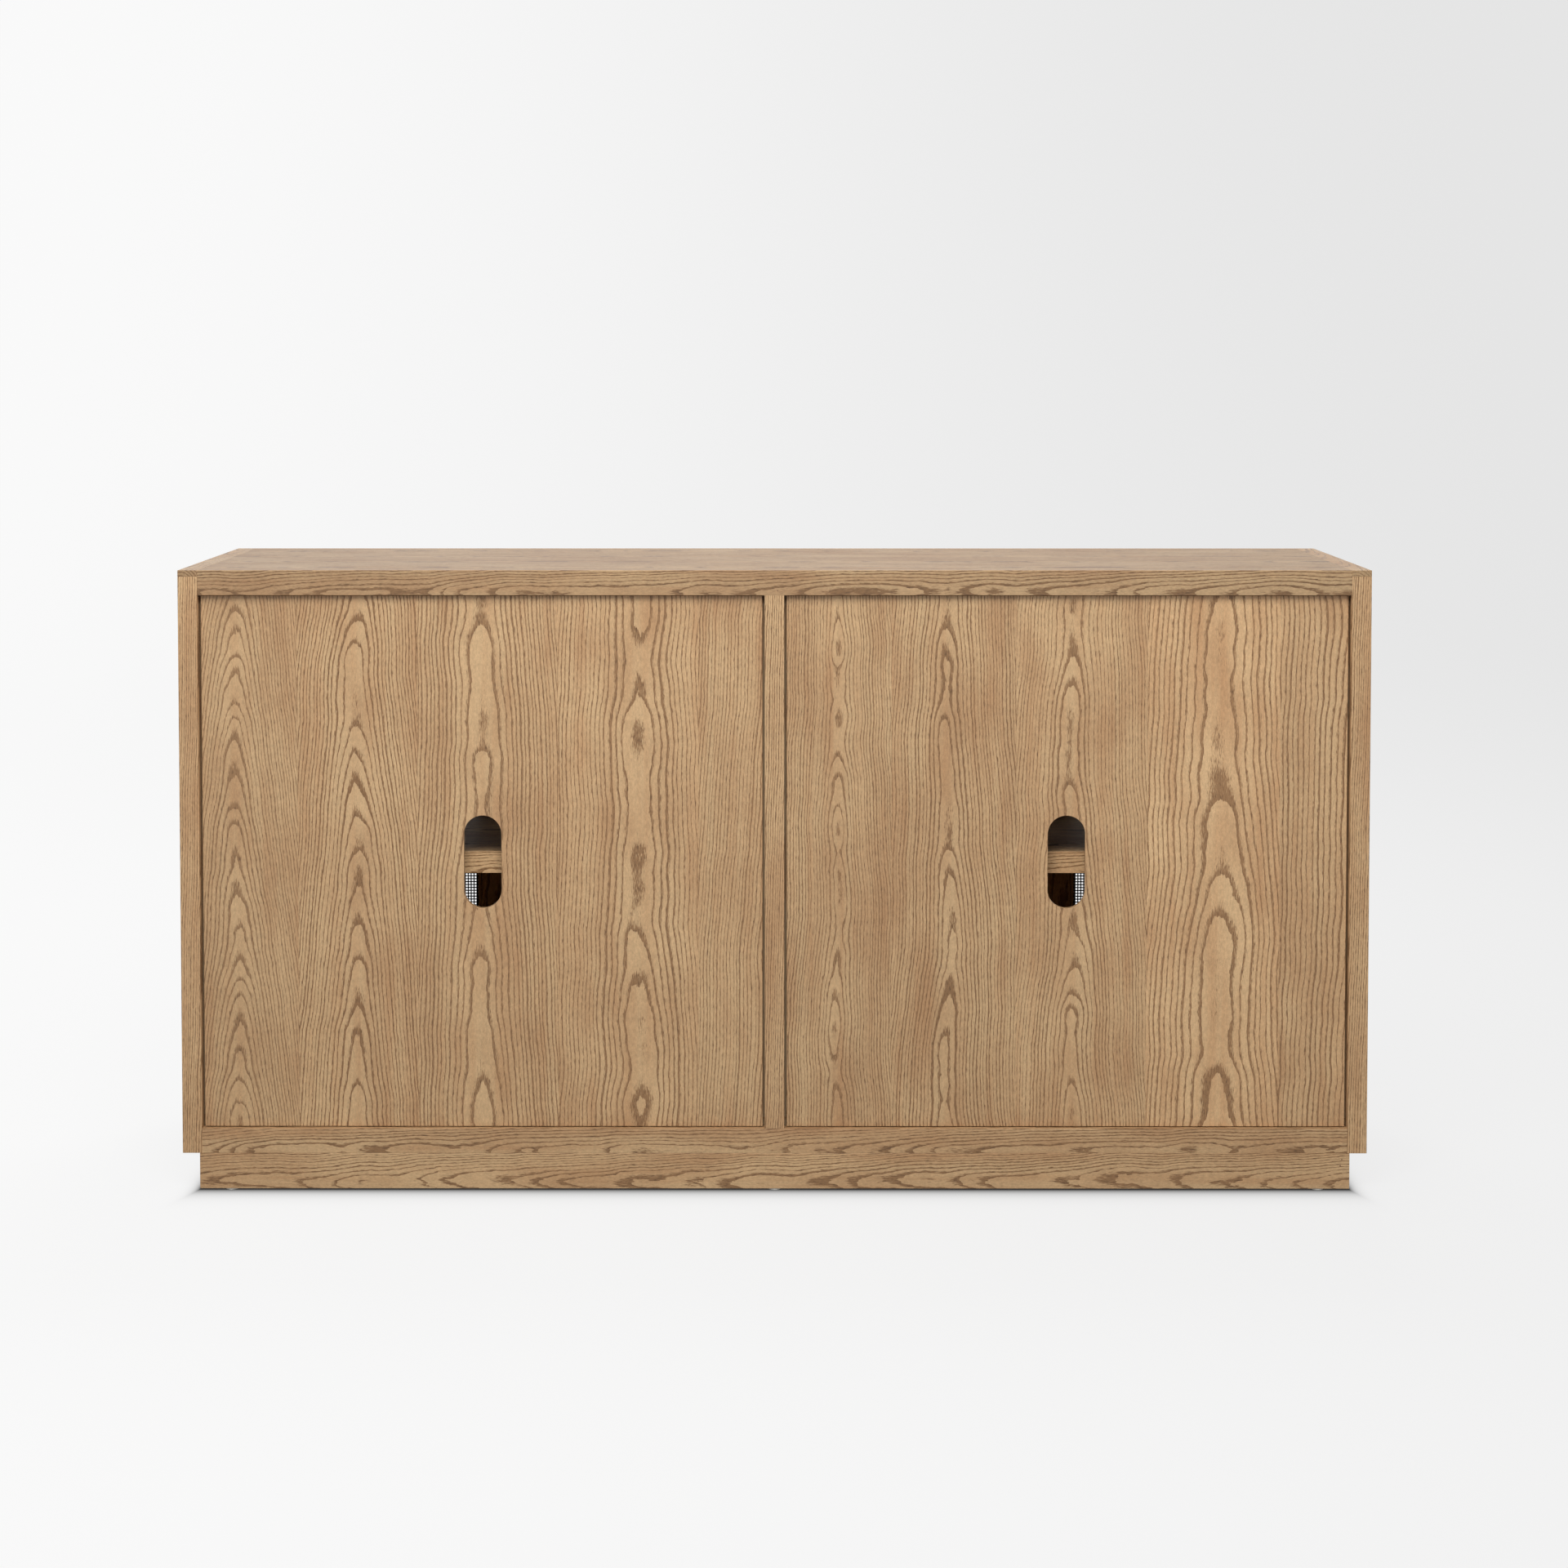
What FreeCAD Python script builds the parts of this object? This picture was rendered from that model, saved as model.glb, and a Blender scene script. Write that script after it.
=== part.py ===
"""Media cabinet with four wire-mesh doors, built as a parametric document.

An ash-veneered case stands on a plinth. Two sides, a top, a bottom and a centre partition make two bays,
and each bay has a let-in back with a cable slot, a shelf on pins, and a pair of framed mesh doors on butt
hinges. X runs along the width, the doors face -Y, Z is up, and the origin is on the floor under the middle
of the case.
"""

import FreeCAD, Part
import math
import os
import re
import Sketcher
from FreeCAD import Placement, Rotation, Vector

# Driving dimensions in millimetres. Each becomes a named cell of the sheet.
SIZES = {
    # case
    "case_width": 1524,
    "case_height": 800,
    "case_depth": 432,
    "side_thick": 25,
    "deck_thick": 32,
    "partition_thick": 25,
    "edge_ease": 0.5,
    "lipping_thick": 8,
    # plinth and glides
    "plinth_height": 46,
    "plinth_thick": 18,
    "plinth_inset": 22,
    "glide_lift": 2,
    "glide_radius": 8,
    "glide_inset": 40,
    "glide_nail_radius": 1,
    "glide_nail_length": 14,
    "block_leg": 40,
    "block_height": 30,
    "block_screw_inset": 12,
    # let-in backs and their cleats
    "back_thick": 9,
    "back_recess": 8,
    "back_side_gap": 3,
    "back_end_gap": 1,
    "slot_width": 48,
    "slot_length": 120,
    "cleat_width": 15,
    # shelves and their pins
    "shelf_thick": 28,
    "shelf_height": 405,
    "shelf_setback": 36,
    "shelf_play": 1.5,
    "pin_hole_radius": 2.5,
    "pin_hole_depth": 10,
    "pin_hole_pitch": 32,
    "pin_row_inset": 37,
    "pin_radius": 2.4,
    "pin_length": 8,
    "pin_collar_radius": 3,
    "pin_collar_thick": 1.2,
    "pin_tab_length": 15,
    "pin_tab_width": 10,
    "pin_tab_thick": 2,
    # doors
    "door_gap": 2,
    "door_thick": 22,
    "frame_width": 50,
    "rebate_width": 12,
    "rebate_depth": 10,
    "tenon_length": 20,
    "tenon_thick": 8,
    "tenon_shoulder": 10,
    "tenon_setback": 2,
    "mesh_thick": 2.4,
    "mesh_play": 0.5,
    "bead_width": 8,
    # knobs, bolts and strike plates
    "knob_radius": 11,
    "knob_neck_radius": 5,
    "knob_rose_radius": 7.5,
    "knob_rose_thick": 2,
    "knob_neck_length": 6,
    "knob_flare_length": 5,
    "knob_face_thick": 5,
    "bolt_radius": 2,
    "bolt_head_radius": 4,
    "bolt_head_height": 2.5,
    "bolt_bite": 10,
    "strike_length": 16,
    "strike_height": 11,
    "strike_thick": 1.5,
    "strike_inset": 3,
    "strike_drop": 0.5,
    # butt hinges
    "hinge_inset": 80,
    "leaf_length": 50,
    "leaf_width": 20,
    "leaf_thick": 1.5,
    "knuckle_radius": 3.25,
    "knuckle_clearance": 0.25,
    "knuckle_play": 0.1,
    "hinge_pin_radius": 1.5,
    "running_play": 0.05,
    "pin_cap_radius": 2.6,
    "pin_cap_height": 1.5,
    "hinge_screw_pitch": 16,
    "hinge_screw_setback": 12,
    # fasteners and catches
    "screw_head_radius": 2.8,
    "screw_head_depth": 1.3,
    "screw_radius": 1.4,
    "hinge_screw_length": 12,
    "back_screw_length": 20,
    "plinth_screw_length": 45,
    "dowel_radius": 4,
    "dowel_length": 40,
    "dowel_in_board": 15,
    "brad_radius": 0.9,
    "brad_length": 25,
    "brad_sink": 0.4,
    "catch_length": 46,
    "catch_height": 12,
    "catch_depth": 16,
    "catch_clearance": 0.3,
    "magnet_length": 18,
    "magnet_height": 8,
    "magnet_thick": 0.8,
    "magnet_offset": 12,
}

# Places worked out from the cells.
FRONT = "(-case_depth / 2)"
REAR = "(case_depth / 2)"
FOOT = "(glide_lift + plinth_height)"
BAY_LOW = f"({FOOT} + deck_thick)"
BAY_HIGH = "(case_height - deck_thick)"
BAY_HEIGHT = f"({BAY_HIGH} - {BAY_LOW})"
BAY_OUTER = "(case_width / 2 - side_thick)"
BAY_INNER = "(partition_thick / 2)"
BAY_WIDTH = f"({BAY_OUTER} - {BAY_INNER})"
BACK_FACE = f"({REAR} - back_recess - back_thick)"
PLINTH_OUTER = "(case_width / 2 - plinth_inset)"
PLINTH_FRONT = f"({FRONT} + plinth_inset)"
DOOR_WIDTH = f"(({BAY_WIDTH} - 3 * door_gap) / 2)"
DOOR_LOW = f"({BAY_LOW} + door_gap)"
DOOR_HEIGHT = f"({BAY_HEIGHT} - 2 * door_gap)"
DOOR_BACK = f"({FRONT} + door_thick)"
RAIL_LENGTH = f"({DOOR_WIDTH} - 2 * frame_width)"
PIVOT_Y = f"({FRONT} - knuckle_radius - knuckle_clearance)"
HINGE_HEIGHTS = (f"({DOOR_LOW} + hinge_inset)", f"({DOOR_LOW} + {DOOR_HEIGHT} - hinge_inset)")
PIN_ROWS = (f"({FRONT} + shelf_setback + pin_row_inset)", f"({REAR} - shelf_setback - pin_row_inset)")
PIN_HOLES = 7
DOWEL_ROWS = [f"({k} * case_depth / 8)" for k in (-3, -1, 1, 3)]

# Brads in the rear face, along the width and up from the floor.
BRADS = ((-4, 774), (-32, 774), (-730, 40), (-728, 32), (731, 8))

# The turn that carries +Z to each direction, and half turns about Y and Z.
TOWARDS = {
    "+x": Rotation(Vector(0, 1, 0), 90),
    "-x": Rotation(Vector(0, 1, 0), -90),
    "+y": Rotation(Vector(1, 0, 0), -90),
    "-y": Rotation(Vector(1, 0, 0), 90),
    "+z": Rotation(),
    "-z": Rotation(Vector(1, 0, 0), 180),
}
OVER = Rotation(Vector(0, 1, 0), 180)
ROUND = Rotation(Vector(0, 0, 1), 180)

doc = FreeCAD.newDocument("media_cabinet")
sheet = doc.addObject("Spreadsheet::Sheet", "sizes")
for row, (alias, value) in enumerate(SIZES.items(), start=1):
    sheet.set(f"A{row}", alias)
    sheet.set(f"B{row}", str(value))
    sheet.setAlias(f"B{row}", alias)
doc.recompute()

nodes = []


def cells(text):
    """An expression with every size written as its cell of the sheet."""
    return re.sub(r"[a-z_]+", lambda word: f"sizes.{word[0]}" if word[0] in SIZES else word[0], text)


def bind(thing, **sizes):
    """Binds properties of a document object to expressions on the sheet."""
    for name, text in sizes.items():
        thing.setExpression(name, cells(text))


def put(thing, corner, turn=Rotation()):
    """Turns a document object and places it at three expressions."""
    thing.Placement = Placement(Vector(), turn)
    for axis, text in zip("xyz", corner):
        thing.setExpression(f"Placement.Base.{axis}", cells(text))
    return thing


def node(label, thing):
    """Makes a document object one of the cabinet's nodes, under its own name."""
    thing.Label = label
    nodes.append(thing)
    return thing


def box(name, size, corner):
    """A sharp-edged block from its lowest corner."""
    thing = doc.addObject("Part::Box", name)
    bind(thing, Length=size[0], Width=size[1], Height=size[2])
    return put(thing, corner)


def rod(name, radius, length, start, towards="+z"):
    """A cylinder from the middle of its first end."""
    thing = doc.addObject("Part::Cylinder", name)
    bind(thing, Radius=radius, Height=length)
    return put(thing, start, TOWARDS[towards])


def cone(name, radii, length, start, towards="+z"):
    """A cone from the middle of its first end, with a radius for each end."""
    thing = doc.addObject("Part::Cone", name)
    bind(thing, Radius1=radii[0], Radius2=radii[1], Height=length)
    return put(thing, start, TOWARDS[towards])


def ease_edges(body, solid):
    """Rounds every edge of a body's solid a little, as sandpaper does, and makes that its final shape."""
    doc.recompute()
    eased = body.newObject("PartDesign::Fillet", f"{body.Name}_eased")
    eased.Base = (solid, ["Edge1"])
    eased.UseAllEdges = True
    bind(eased, Radius="edge_ease")
    body.Tip = eased


def board(name, size, corner):
    """A board with every edge eased."""
    body = doc.addObject("PartDesign::Body", name)
    block = body.newObject("PartDesign::AdditiveBox", f"{name}_block")
    bind(block, Length=size[0], Width=size[1], Height=size[2])
    ease_edges(body, block)
    return put(body, corner)


def group(name, things):
    """Several separate solids as one object."""
    thing = doc.addObject("Part::Compound", name)
    thing.Links = things
    return thing


def fused(name, things):
    """Several touching solids joined into one."""
    thing = doc.addObject("Part::MultiFuse", name)
    thing.Shapes = things
    return thing


def cut(name, base, tools):
    """A solid with tools taken out of it."""
    thing = doc.addObject("Part::Cut", name)
    thing.Base = base
    thing.Tool = group(f"{name}_tools", tools)
    return thing


def copy_of(master, name, place, turn=Rotation()):
    """A linked copy of a master piece, in a place of its own."""
    link = doc.addObject("App::Link", name)
    link.LinkedObject = master
    return put(link, place, turn)


def span(edge, sign, start, size):
    """The lowest x of a stretch that starts some way from an edge and runs off to the given side of it."""
    return f"{edge} + {start}" if sign > 0 else f"{edge} - ({start}) - {size}"


# --- pieces that repeat ------------------------------------------------------------------------------


def screw(name, length):
    """A countersunk screw along +Z, with the flat of its head at the origin."""
    return fused(name, [
        cone(f"{name}_head", ("screw_head_radius", "screw_radius"), "screw_head_depth", ("0", "0", "0")),
        rod(f"{name}_shank", "screw_radius", f"{length} - screw_radius", ("0", "0", "0")),
        cone(f"{name}_tip", ("screw_radius", "0"), "screw_radius", ("0", "0", f"{length} - screw_radius")),
    ])


def hinge_leaf(name, own, other, bore):
    """A butt hinge's leaf on the +X side of its pin, which is the Z axis.

    A plate, flush with the edge that it is let into, carries knuckles in its own fifths of the length and
    is cut away round the other leaf's. Three countersunk screw holes run down the flap.
    """
    fifth = "(leaf_length / 5)"
    plate = box(f"{name}_plate", ("leaf_thick", "leaf_width", "leaf_length"),
                ("door_gap / 2", "0", "-leaf_length / 2"))
    knuckles = [
        rod(f"{name}_knuckle_{k}", "knuckle_radius", f"{fifth} - 2 * knuckle_play",
            ("0", "0", f"({k} - 2.5) * {fifth} + knuckle_play"))
        for k in own
    ]
    room = [
        rod(f"{name}_room_{k}", "knuckle_radius + knuckle_clearance", fifth,
            ("0", "0", f"({k} - 2.5) * {fifth}"))
        for k in other
    ]
    holes = [rod(f"{name}_bore", bore, "2 * leaf_length", ("0", "0", "-leaf_length"))]
    for k in (-1, 0, 1):
        place = ("door_gap / 2", "hinge_screw_setback", f"{k} * hinge_screw_pitch")
        sink = ("screw_head_radius + running_play", "screw_radius + running_play")
        holes.append(cone(f"{name}_sink_{k + 1}", sink, "screw_head_depth", place, "+x"))
        holes.append(rod(f"{name}_hole_{k + 1}", sink[1], "2 * leaf_thick", place, "+x"))
    return cut(name, fused(f"{name}_joined", [cut(f"{name}_flap", plate, room)] + knuckles), holes)


hinge_screw = screw("hinge_screw", "hinge_screw_length")
back_screw = screw("back_screw", "back_screw_length")
plinth_screw = screw("plinth_screw", "plinth_screw_length")

case_leaf = hinge_leaf("case_leaf", (0, 2, 4), (1, 3), "hinge_pin_radius")
door_leaf = hinge_leaf("door_leaf", (1, 3), (0, 2, 4), "hinge_pin_radius + running_play")

# The pin is peened over at both ends.
PIN_REACH = "(leaf_length / 2 + knuckle_play)"
hinge_pin = fused("hinge_pin", [
    rod("hinge_pin_shaft", "hinge_pin_radius", f"2 * {PIN_REACH}", ("0", "0", f"-{PIN_REACH}")),
    rod("hinge_pin_cap", "pin_cap_radius", "pin_cap_height", ("0", "0", "leaf_length / 2")),
    rod("hinge_pin_foot", "pin_cap_radius", "pin_cap_height", ("0", "0", "-leaf_length / 2"), "-z"),
])

# The origin of a shelf pin is on the case board's face at the height of the shelf's underside.
shelf_pin = fused("shelf_pin", [
    rod("shelf_pin_stem", "pin_radius", "pin_length", ("0", "0", "-pin_collar_radius"), "-x"),
    rod("shelf_pin_collar", "pin_collar_radius", "pin_collar_thick", ("0", "0", "-pin_collar_radius"), "+x"),
    box("shelf_pin_tab", ("pin_tab_length", "pin_tab_width", "pin_tab_thick"),
        ("0", "-pin_tab_width / 2", "-pin_tab_thick")),
])

glide = fused("glide", [
    rod("glide_disc", "glide_radius", "glide_lift", ("0", "0", "0")),
    rod("glide_nail", "glide_nail_radius", "glide_lift + glide_nail_length", ("0", "0", "0")),
])

corner_block = doc.addObject("Part::Wedge", "corner_block")
for low in ("Xmin", "Ymin", "Zmin", "X2min", "X2max", "Z2min"):
    setattr(corner_block, low, 0)
bind(corner_block, Xmax="block_leg", Ymax="block_leg", Zmax="block_height", Z2max="block_height")

# A turned knob stands on the origin: a rose, a neck, a flare and a flat face, bored for its bolt.
KNOB_FLARE = "(knob_rose_thick + knob_neck_length)"
KNOB_FACE = f"({KNOB_FLARE} + knob_flare_length)"
knob = cut("knob", fused("knob_turned", [
    rod("knob_rose", "knob_rose_radius", "knob_rose_thick", ("0", "0", "0")),
    rod("knob_neck", "knob_neck_radius", KNOB_FLARE, ("0", "0", "0")),
    cone("knob_flare", ("knob_neck_radius", "knob_radius"), "knob_flare_length", ("0", "0", KNOB_FLARE)),
    rod("knob_face", "knob_radius", "knob_face_thick", ("0", "0", KNOB_FACE)),
]), [rod("knob_bore", "bolt_radius", "bolt_bite", ("0", "0", "0"))])


# --- glides, dowels and brads, which the boards are bored for ----------------------------------------

plinth_mid = "(plinth_thick / 2)"
glide_places = [(x, y) for x in (f"-{PLINTH_OUTER} + glide_inset", "0", f"{PLINTH_OUTER} - glide_inset")
                for y in (f"{PLINTH_FRONT} + {plinth_mid}", f"{REAR} - {plinth_mid}")]
glide_places.append(("0", "0"))
floor_glides = node("floor_glides", group("floor_glides", [
    copy_of(glide, f"glide_{k}", (x, y, "0")) for k, (x, y) in enumerate(glide_places)
]))

dowels = []
for k, y in enumerate(DOWEL_ROWS):
    into_side = f"{BAY_OUTER} + dowel_in_board"
    for level, z in (("low", f"{FOOT} + deck_thick / 2"), ("high", f"{BAY_HIGH} + deck_thick / 2")):
        for bay, x, way in (("right", into_side, "-x"), ("left", f"-({into_side})", "+x")):
            dowels.append(rod(f"dowel_{bay}_{level}_{k}", "dowel_radius", "dowel_length", (x, y, z), way))
    dowels.append(rod(f"dowel_foot_{k}", "dowel_radius", "dowel_length",
                      ("0", y, f"{BAY_LOW} - dowel_in_board")))
    dowels.append(rod(f"dowel_head_{k}", "dowel_radius", "dowel_length",
                      ("0", y, f"{BAY_HIGH} + dowel_in_board"), "-z"))
case_dowels = node("case_dowels", group("case_dowels", dowels))

edge_brads = node("edge_brads", group("edge_brads", [
    rod(f"brad_{k}", "brad_radius", "brad_length", (str(x), f"{REAR} - brad_sink", str(z)), "-y")
    for k, (x, z) in enumerate(BRADS)
]))
brad_holes = group("brad_holes", [
    rod(f"brad_hole_{k}", "brad_radius", "brad_length + brad_sink", (str(x), REAR, str(z)), "-y")
    for k, (x, z) in enumerate(BRADS)
])


# --- shelf pins and their rows of holes --------------------------------------------------------------

# Each upright face of a bay: its name, its x, the way into its board, and the pins' turn.
BAY_FACES = (
    ("left_outer", f"-{BAY_OUTER}", "-x", Rotation()),
    ("left_inner", f"-{BAY_INNER}", "+x", ROUND),
    ("right_inner", BAY_INNER, "-x", Rotation()),
    ("right_outer", BAY_OUTER, "+x", ROUND),
)
pins = []
pin_holes = {}
for face, x, inward, turn in BAY_FACES:
    pin_holes[face] = []
    for row, y in zip(("front", "rear"), PIN_ROWS):
        pins.append(copy_of(shelf_pin, f"pin_{face}_{row}", (x, y, "shelf_height"), turn))
        for k in range(PIN_HOLES):
            z = f"shelf_height - pin_collar_radius + ({k - PIN_HOLES // 2}) * pin_hole_pitch"
            hole = rod(f"pin_hole_{face}_{row}_{k}", "pin_hole_radius", "pin_hole_depth", (x, y, z), inward)
            pin_holes[face].append(hole)
node("shelf_pins", group("shelf_pins", pins))


# --- hinges ------------------------------------------------------------------------------------------

# Each door: its name, the x of the case face that carries it, and the side of that face that it lies on.
DOORS = (
    ("door_outer_left", f"-{BAY_OUTER}", 1),
    ("door_inner_left", f"-{BAY_INNER}", -1),
    ("door_inner_right", BAY_INNER, 1),
    ("door_outer_right", BAY_OUTER, -1),
)


def leaf_bed(name, edge, sign, height):
    """The shallow recess for a leaf in the front of an edge that lies off to the given side."""
    depth = "(leaf_width - knuckle_radius - knuckle_clearance)"
    return box(name, ("leaf_thick", depth, "leaf_length"),
               (span(edge, sign, "0", "leaf_thick"), FRONT, f"{height} - leaf_length / 2"))


def leaf_screws(name, edge, sign, height):
    """Three screws through a leaf, square to its edge."""
    y = f"{PIVOT_Y} + hinge_screw_setback"
    return [
        copy_of(hinge_screw, f"{name}_{k + 1}", (edge, y, f"{height} + ({k}) * hinge_screw_pitch"),
                TOWARDS["+x" if sign > 0 else "-x"])
        for k in (-1, 0, 1)
    ]


case_leaves = []
case_screws = []
hinge_pins = []
case_beds = {}
for door, face, sign in DOORS:
    case_beds[door] = []
    for k, height in enumerate(HINGE_HEIGHTS):
        axis = (f"{face} + ({sign}) * door_gap / 2", PIVOT_Y, height)
        turn = OVER if sign > 0 else Rotation()
        case_leaves.append(copy_of(case_leaf, f"{door}_case_leaf_{k}", axis, turn))
        hinge_pins.append(copy_of(hinge_pin, f"{door}_pin_{k}", axis))
        case_beds[door].append(leaf_bed(f"{door}_case_bed_{k}", face, -sign, height))
        case_screws += leaf_screws(f"{door}_case_screw_{k}", face, -sign, height)
node("case_hinge_leaves", group("case_hinge_leaves", case_leaves))
node("hinge_pins", group("hinge_pins", hinge_pins))
case_hinge_screws = node("case_hinge_screws", group("case_hinge_screws", case_screws))


# --- magnetic catches --------------------------------------------------------------------------------

BAYS = (("left", f"(-{BAY_OUTER})"), ("right", BAY_INNER))
CATCH_FRONT = f"({DOOR_BACK} + strike_thick + catch_clearance)"
catch_parts = []
catch_screws = []
for bay, low in BAYS:
    middle = f"({low} + {BAY_WIDTH} / 2)"
    housing = box(f"catch_housing_{bay}", ("catch_length", "catch_depth", "catch_height"),
                  (f"{middle} - catch_length / 2", CATCH_FRONT, f"{BAY_HIGH} - catch_height"))
    magnets = []
    screws = []
    for way, sign in (("a", -1), ("b", 1)):
        x = f"{middle} + ({sign}) * magnet_offset"
        magnets.append(box(f"magnet_{bay}_{way}", ("magnet_length", "magnet_thick", "magnet_height"),
                           (f"{x} - magnet_length / 2", CATCH_FRONT,
                            f"{BAY_HIGH} - (catch_height + magnet_height) / 2")))
        screws.append(copy_of(back_screw, f"catch_screw_{bay}_{way}",
                              (x, f"{CATCH_FRONT} + catch_depth / 2", f"{BAY_HIGH} - catch_height")))
    catch_parts += [cut(f"catch_body_{bay}", housing, magnets + screws)] + magnets + screws
    catch_screws += screws
node("magnetic_catches", group("magnetic_catches", catch_parts))


# --- let-in backs, held by cleats --------------------------------------------------------------------


def slotted_back(name, corner):
    """A thin back panel with an upright cable slot through its middle, its edges and the slot's rim eased.

    The sketch is centred on the panel: four lines for the outline, then two lines and two half circles for
    the slot.
    """
    body = doc.addObject("PartDesign::Body", name)
    sketch = body.newObject("Sketcher::SketchObject", f"{name}_outline")
    plane = next(feature for feature in body.Origin.OriginFeatures if feature.Role == "XZ_Plane")
    sketch.AttachmentSupport = [(plane, "")]
    sketch.MapMode = "FlatFace"
    wide, high, radius, reach = 300, 300, 20, 40
    corners = [Vector(x, y, 0) for x, y in ((-wide, -high), (wide, -high), (wide, high), (-wide, high))]
    outline = [Part.LineSegment(corners[k], corners[(k + 1) % 4]) for k in range(4)]
    upper = Part.Circle(Vector(0, reach, 0), Vector(0, 0, 1), radius)
    lower = Part.Circle(Vector(0, -reach, 0), Vector(0, 0, 1), radius)
    slot = [
        Part.LineSegment(Vector(radius, -reach, 0), Vector(radius, reach, 0)),
        Part.ArcOfCircle(upper, 0, math.pi),
        Part.LineSegment(Vector(-radius, reach, 0), Vector(-radius, -reach, 0)),
        Part.ArcOfCircle(lower, math.pi, 2 * math.pi),
    ]
    sketch.addGeometry(outline + slot, False)
    rule = Sketcher.Constraint
    for k in range(4):
        sketch.addConstraint(rule("Coincident", k, 2, (k + 1) % 4, 1))
        sketch.addConstraint(rule("Tangent", 4 + k, 2, 4 + (k + 1) % 4, 1))
    for k in (0, 2):
        sketch.addConstraint(rule("Horizontal", k))
        sketch.addConstraint(rule("Vertical", k + 1))
    sketch.addConstraint(rule("Symmetric", 0, 1, 1, 2, -1, 1))
    sketch.addConstraint(rule("Vertical", 4))
    sketch.addConstraint(rule("PointOnObject", 5, 3, -2))
    sketch.addConstraint(rule("Symmetric", 5, 3, 7, 3, -1, 1))
    measures = (
        ("panel_width", rule("DistanceX", 0, 1, 0, 2, 2 * wide), f"{BAY_WIDTH} - 2 * back_side_gap"),
        ("panel_height", rule("DistanceY", 1, 1, 1, 2, 2 * high), f"{BAY_HEIGHT} - 2 * back_end_gap"),
        ("slot_round", rule("Radius", 5, radius), "slot_width / 2"),
        ("slot_straight", rule("DistanceY", 4, 1, 4, 2, 2 * reach), "slot_length - slot_width"),
    )
    for measure, constraint, text in measures:
        sketch.renameConstraint(sketch.addConstraint(constraint), measure)
        sketch.setExpression(f"Constraints.{measure}", cells(text))
    pad = body.newObject("PartDesign::Pad", f"{name}_panel")
    pad.Profile = sketch
    pad.Reversed = True
    bind(pad, Length="back_thick")
    ease_edges(body, pad)
    return put(body, corner)


back_screws = []
for bay, low in BAYS:
    high = f"({low} + {BAY_WIDTH})"
    cleat_y = f"({BACK_FACE} - cleat_width)"
    cleat_mid = f"({BACK_FACE} - cleat_width / 2)"
    rail = f"{BAY_WIDTH} - 2 * cleat_width"
    strips = [
        board(f"cleat_{bay}_a", ("cleat_width", "cleat_width", BAY_HEIGHT), (low, cleat_y, BAY_LOW)),
        board(f"cleat_{bay}_b", ("cleat_width", "cleat_width", BAY_HEIGHT),
              (f"{high} - cleat_width", cleat_y, BAY_LOW)),
        board(f"cleat_{bay}_foot", (rail, "cleat_width", "cleat_width"),
              (f"{low} + cleat_width", cleat_y, BAY_LOW)),
        board(f"cleat_{bay}_head", (rail, "cleat_width", "cleat_width"),
              (f"{low} + cleat_width", cleat_y, f"{BAY_HIGH} - cleat_width")),
    ]
    # Along each strip, screws into the back at the odd sixths of its length and into the case at the even.
    screws = []
    for k in (1, 3, 5):
        up = f"{BAY_LOW} + {k} * {BAY_HEIGHT} / 6"
        along = f"{low} + {k} * {BAY_WIDTH} / 6"
        places = (
            (f"{low} + cleat_width / 2", up),
            (f"{high} - cleat_width / 2", up),
            (along, f"{BAY_LOW} + cleat_width / 2"),
            (along, f"{BAY_HIGH} - cleat_width / 2"),
        )
        for strip, (x, z) in enumerate(places):
            place = (x, cleat_y, z)
            screws.append(copy_of(back_screw, f"back_screw_{bay}_{k}_{strip}", place, TOWARDS["+y"]))
    for k in (2, 4):
        up = f"{BAY_LOW} + {k} * {BAY_HEIGHT} / 6"
        along = f"{low} + {k} * {BAY_WIDTH} / 6"
        places = (
            (f"{low} + cleat_width", up, "-x"),
            (f"{high} - cleat_width", up, "+x"),
            (along, f"{BAY_LOW} + cleat_width", "-z"),
            (along, f"{BAY_HIGH} - cleat_width", "+z"),
        )
        for strip, (x, z, way) in enumerate(places):
            place = (x, cleat_mid, z)
            screws.append(copy_of(back_screw, f"cleat_screw_{bay}_{k}_{strip}", place, TOWARDS[way]))
    back_screws += screws
    node(f"{bay}_back_cleats", group(f"{bay}_back_cleats", [
        cut(f"{strip.Name}_bored", strip, screws) for strip in strips
    ]))
    middle = (f"{low} + {BAY_WIDTH} / 2", BACK_FACE, f"{BAY_LOW} + {BAY_HEIGHT} / 2")
    panel = slotted_back(f"{bay}_back_board", middle)
    node(f"{bay}_back_panel", cut(f"{bay}_back_panel", panel, screws))
node("back_screws", group("back_screws", back_screws))


# --- plinth ------------------------------------------------------------------------------------------

end_length = "(case_depth - plinth_inset - 2 * plinth_thick)"
plinth_inner = f"({PLINTH_OUTER} - plinth_thick)"
inner_front = f"({PLINTH_FRONT} + plinth_thick)"
inner_rear = f"({REAR} - plinth_thick)"

# A triangular block in each corner, with a screw up through it into the bottom panel. Each corner: its x and
# y, the ways into the plinth, and the block's turn.
BLOCK_CORNERS = (
    (f"-{plinth_inner}", inner_front, 1, 1, 0),
    (plinth_inner, inner_front, -1, 1, 90),
    (plinth_inner, inner_rear, -1, -1, 180),
    (f"-{plinth_inner}", inner_rear, 1, -1, 270),
)
block_z = f"({FOOT} - block_height)"
screws = []
blocks = []
for k, (x, y, way_x, way_y, angle) in enumerate(BLOCK_CORNERS):
    place = (f"{x} + ({way_x}) * block_screw_inset", f"{y} + ({way_y}) * block_screw_inset", block_z)
    screws.append(copy_of(plinth_screw, f"plinth_screw_{k}", place))
    block = copy_of(corner_block, f"block_{k}", (x, y, block_z), Rotation(Vector(0, 0, 1), angle))
    blocks.append(cut(f"block_{k}_bored", block, [screws[k]]))
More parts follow.
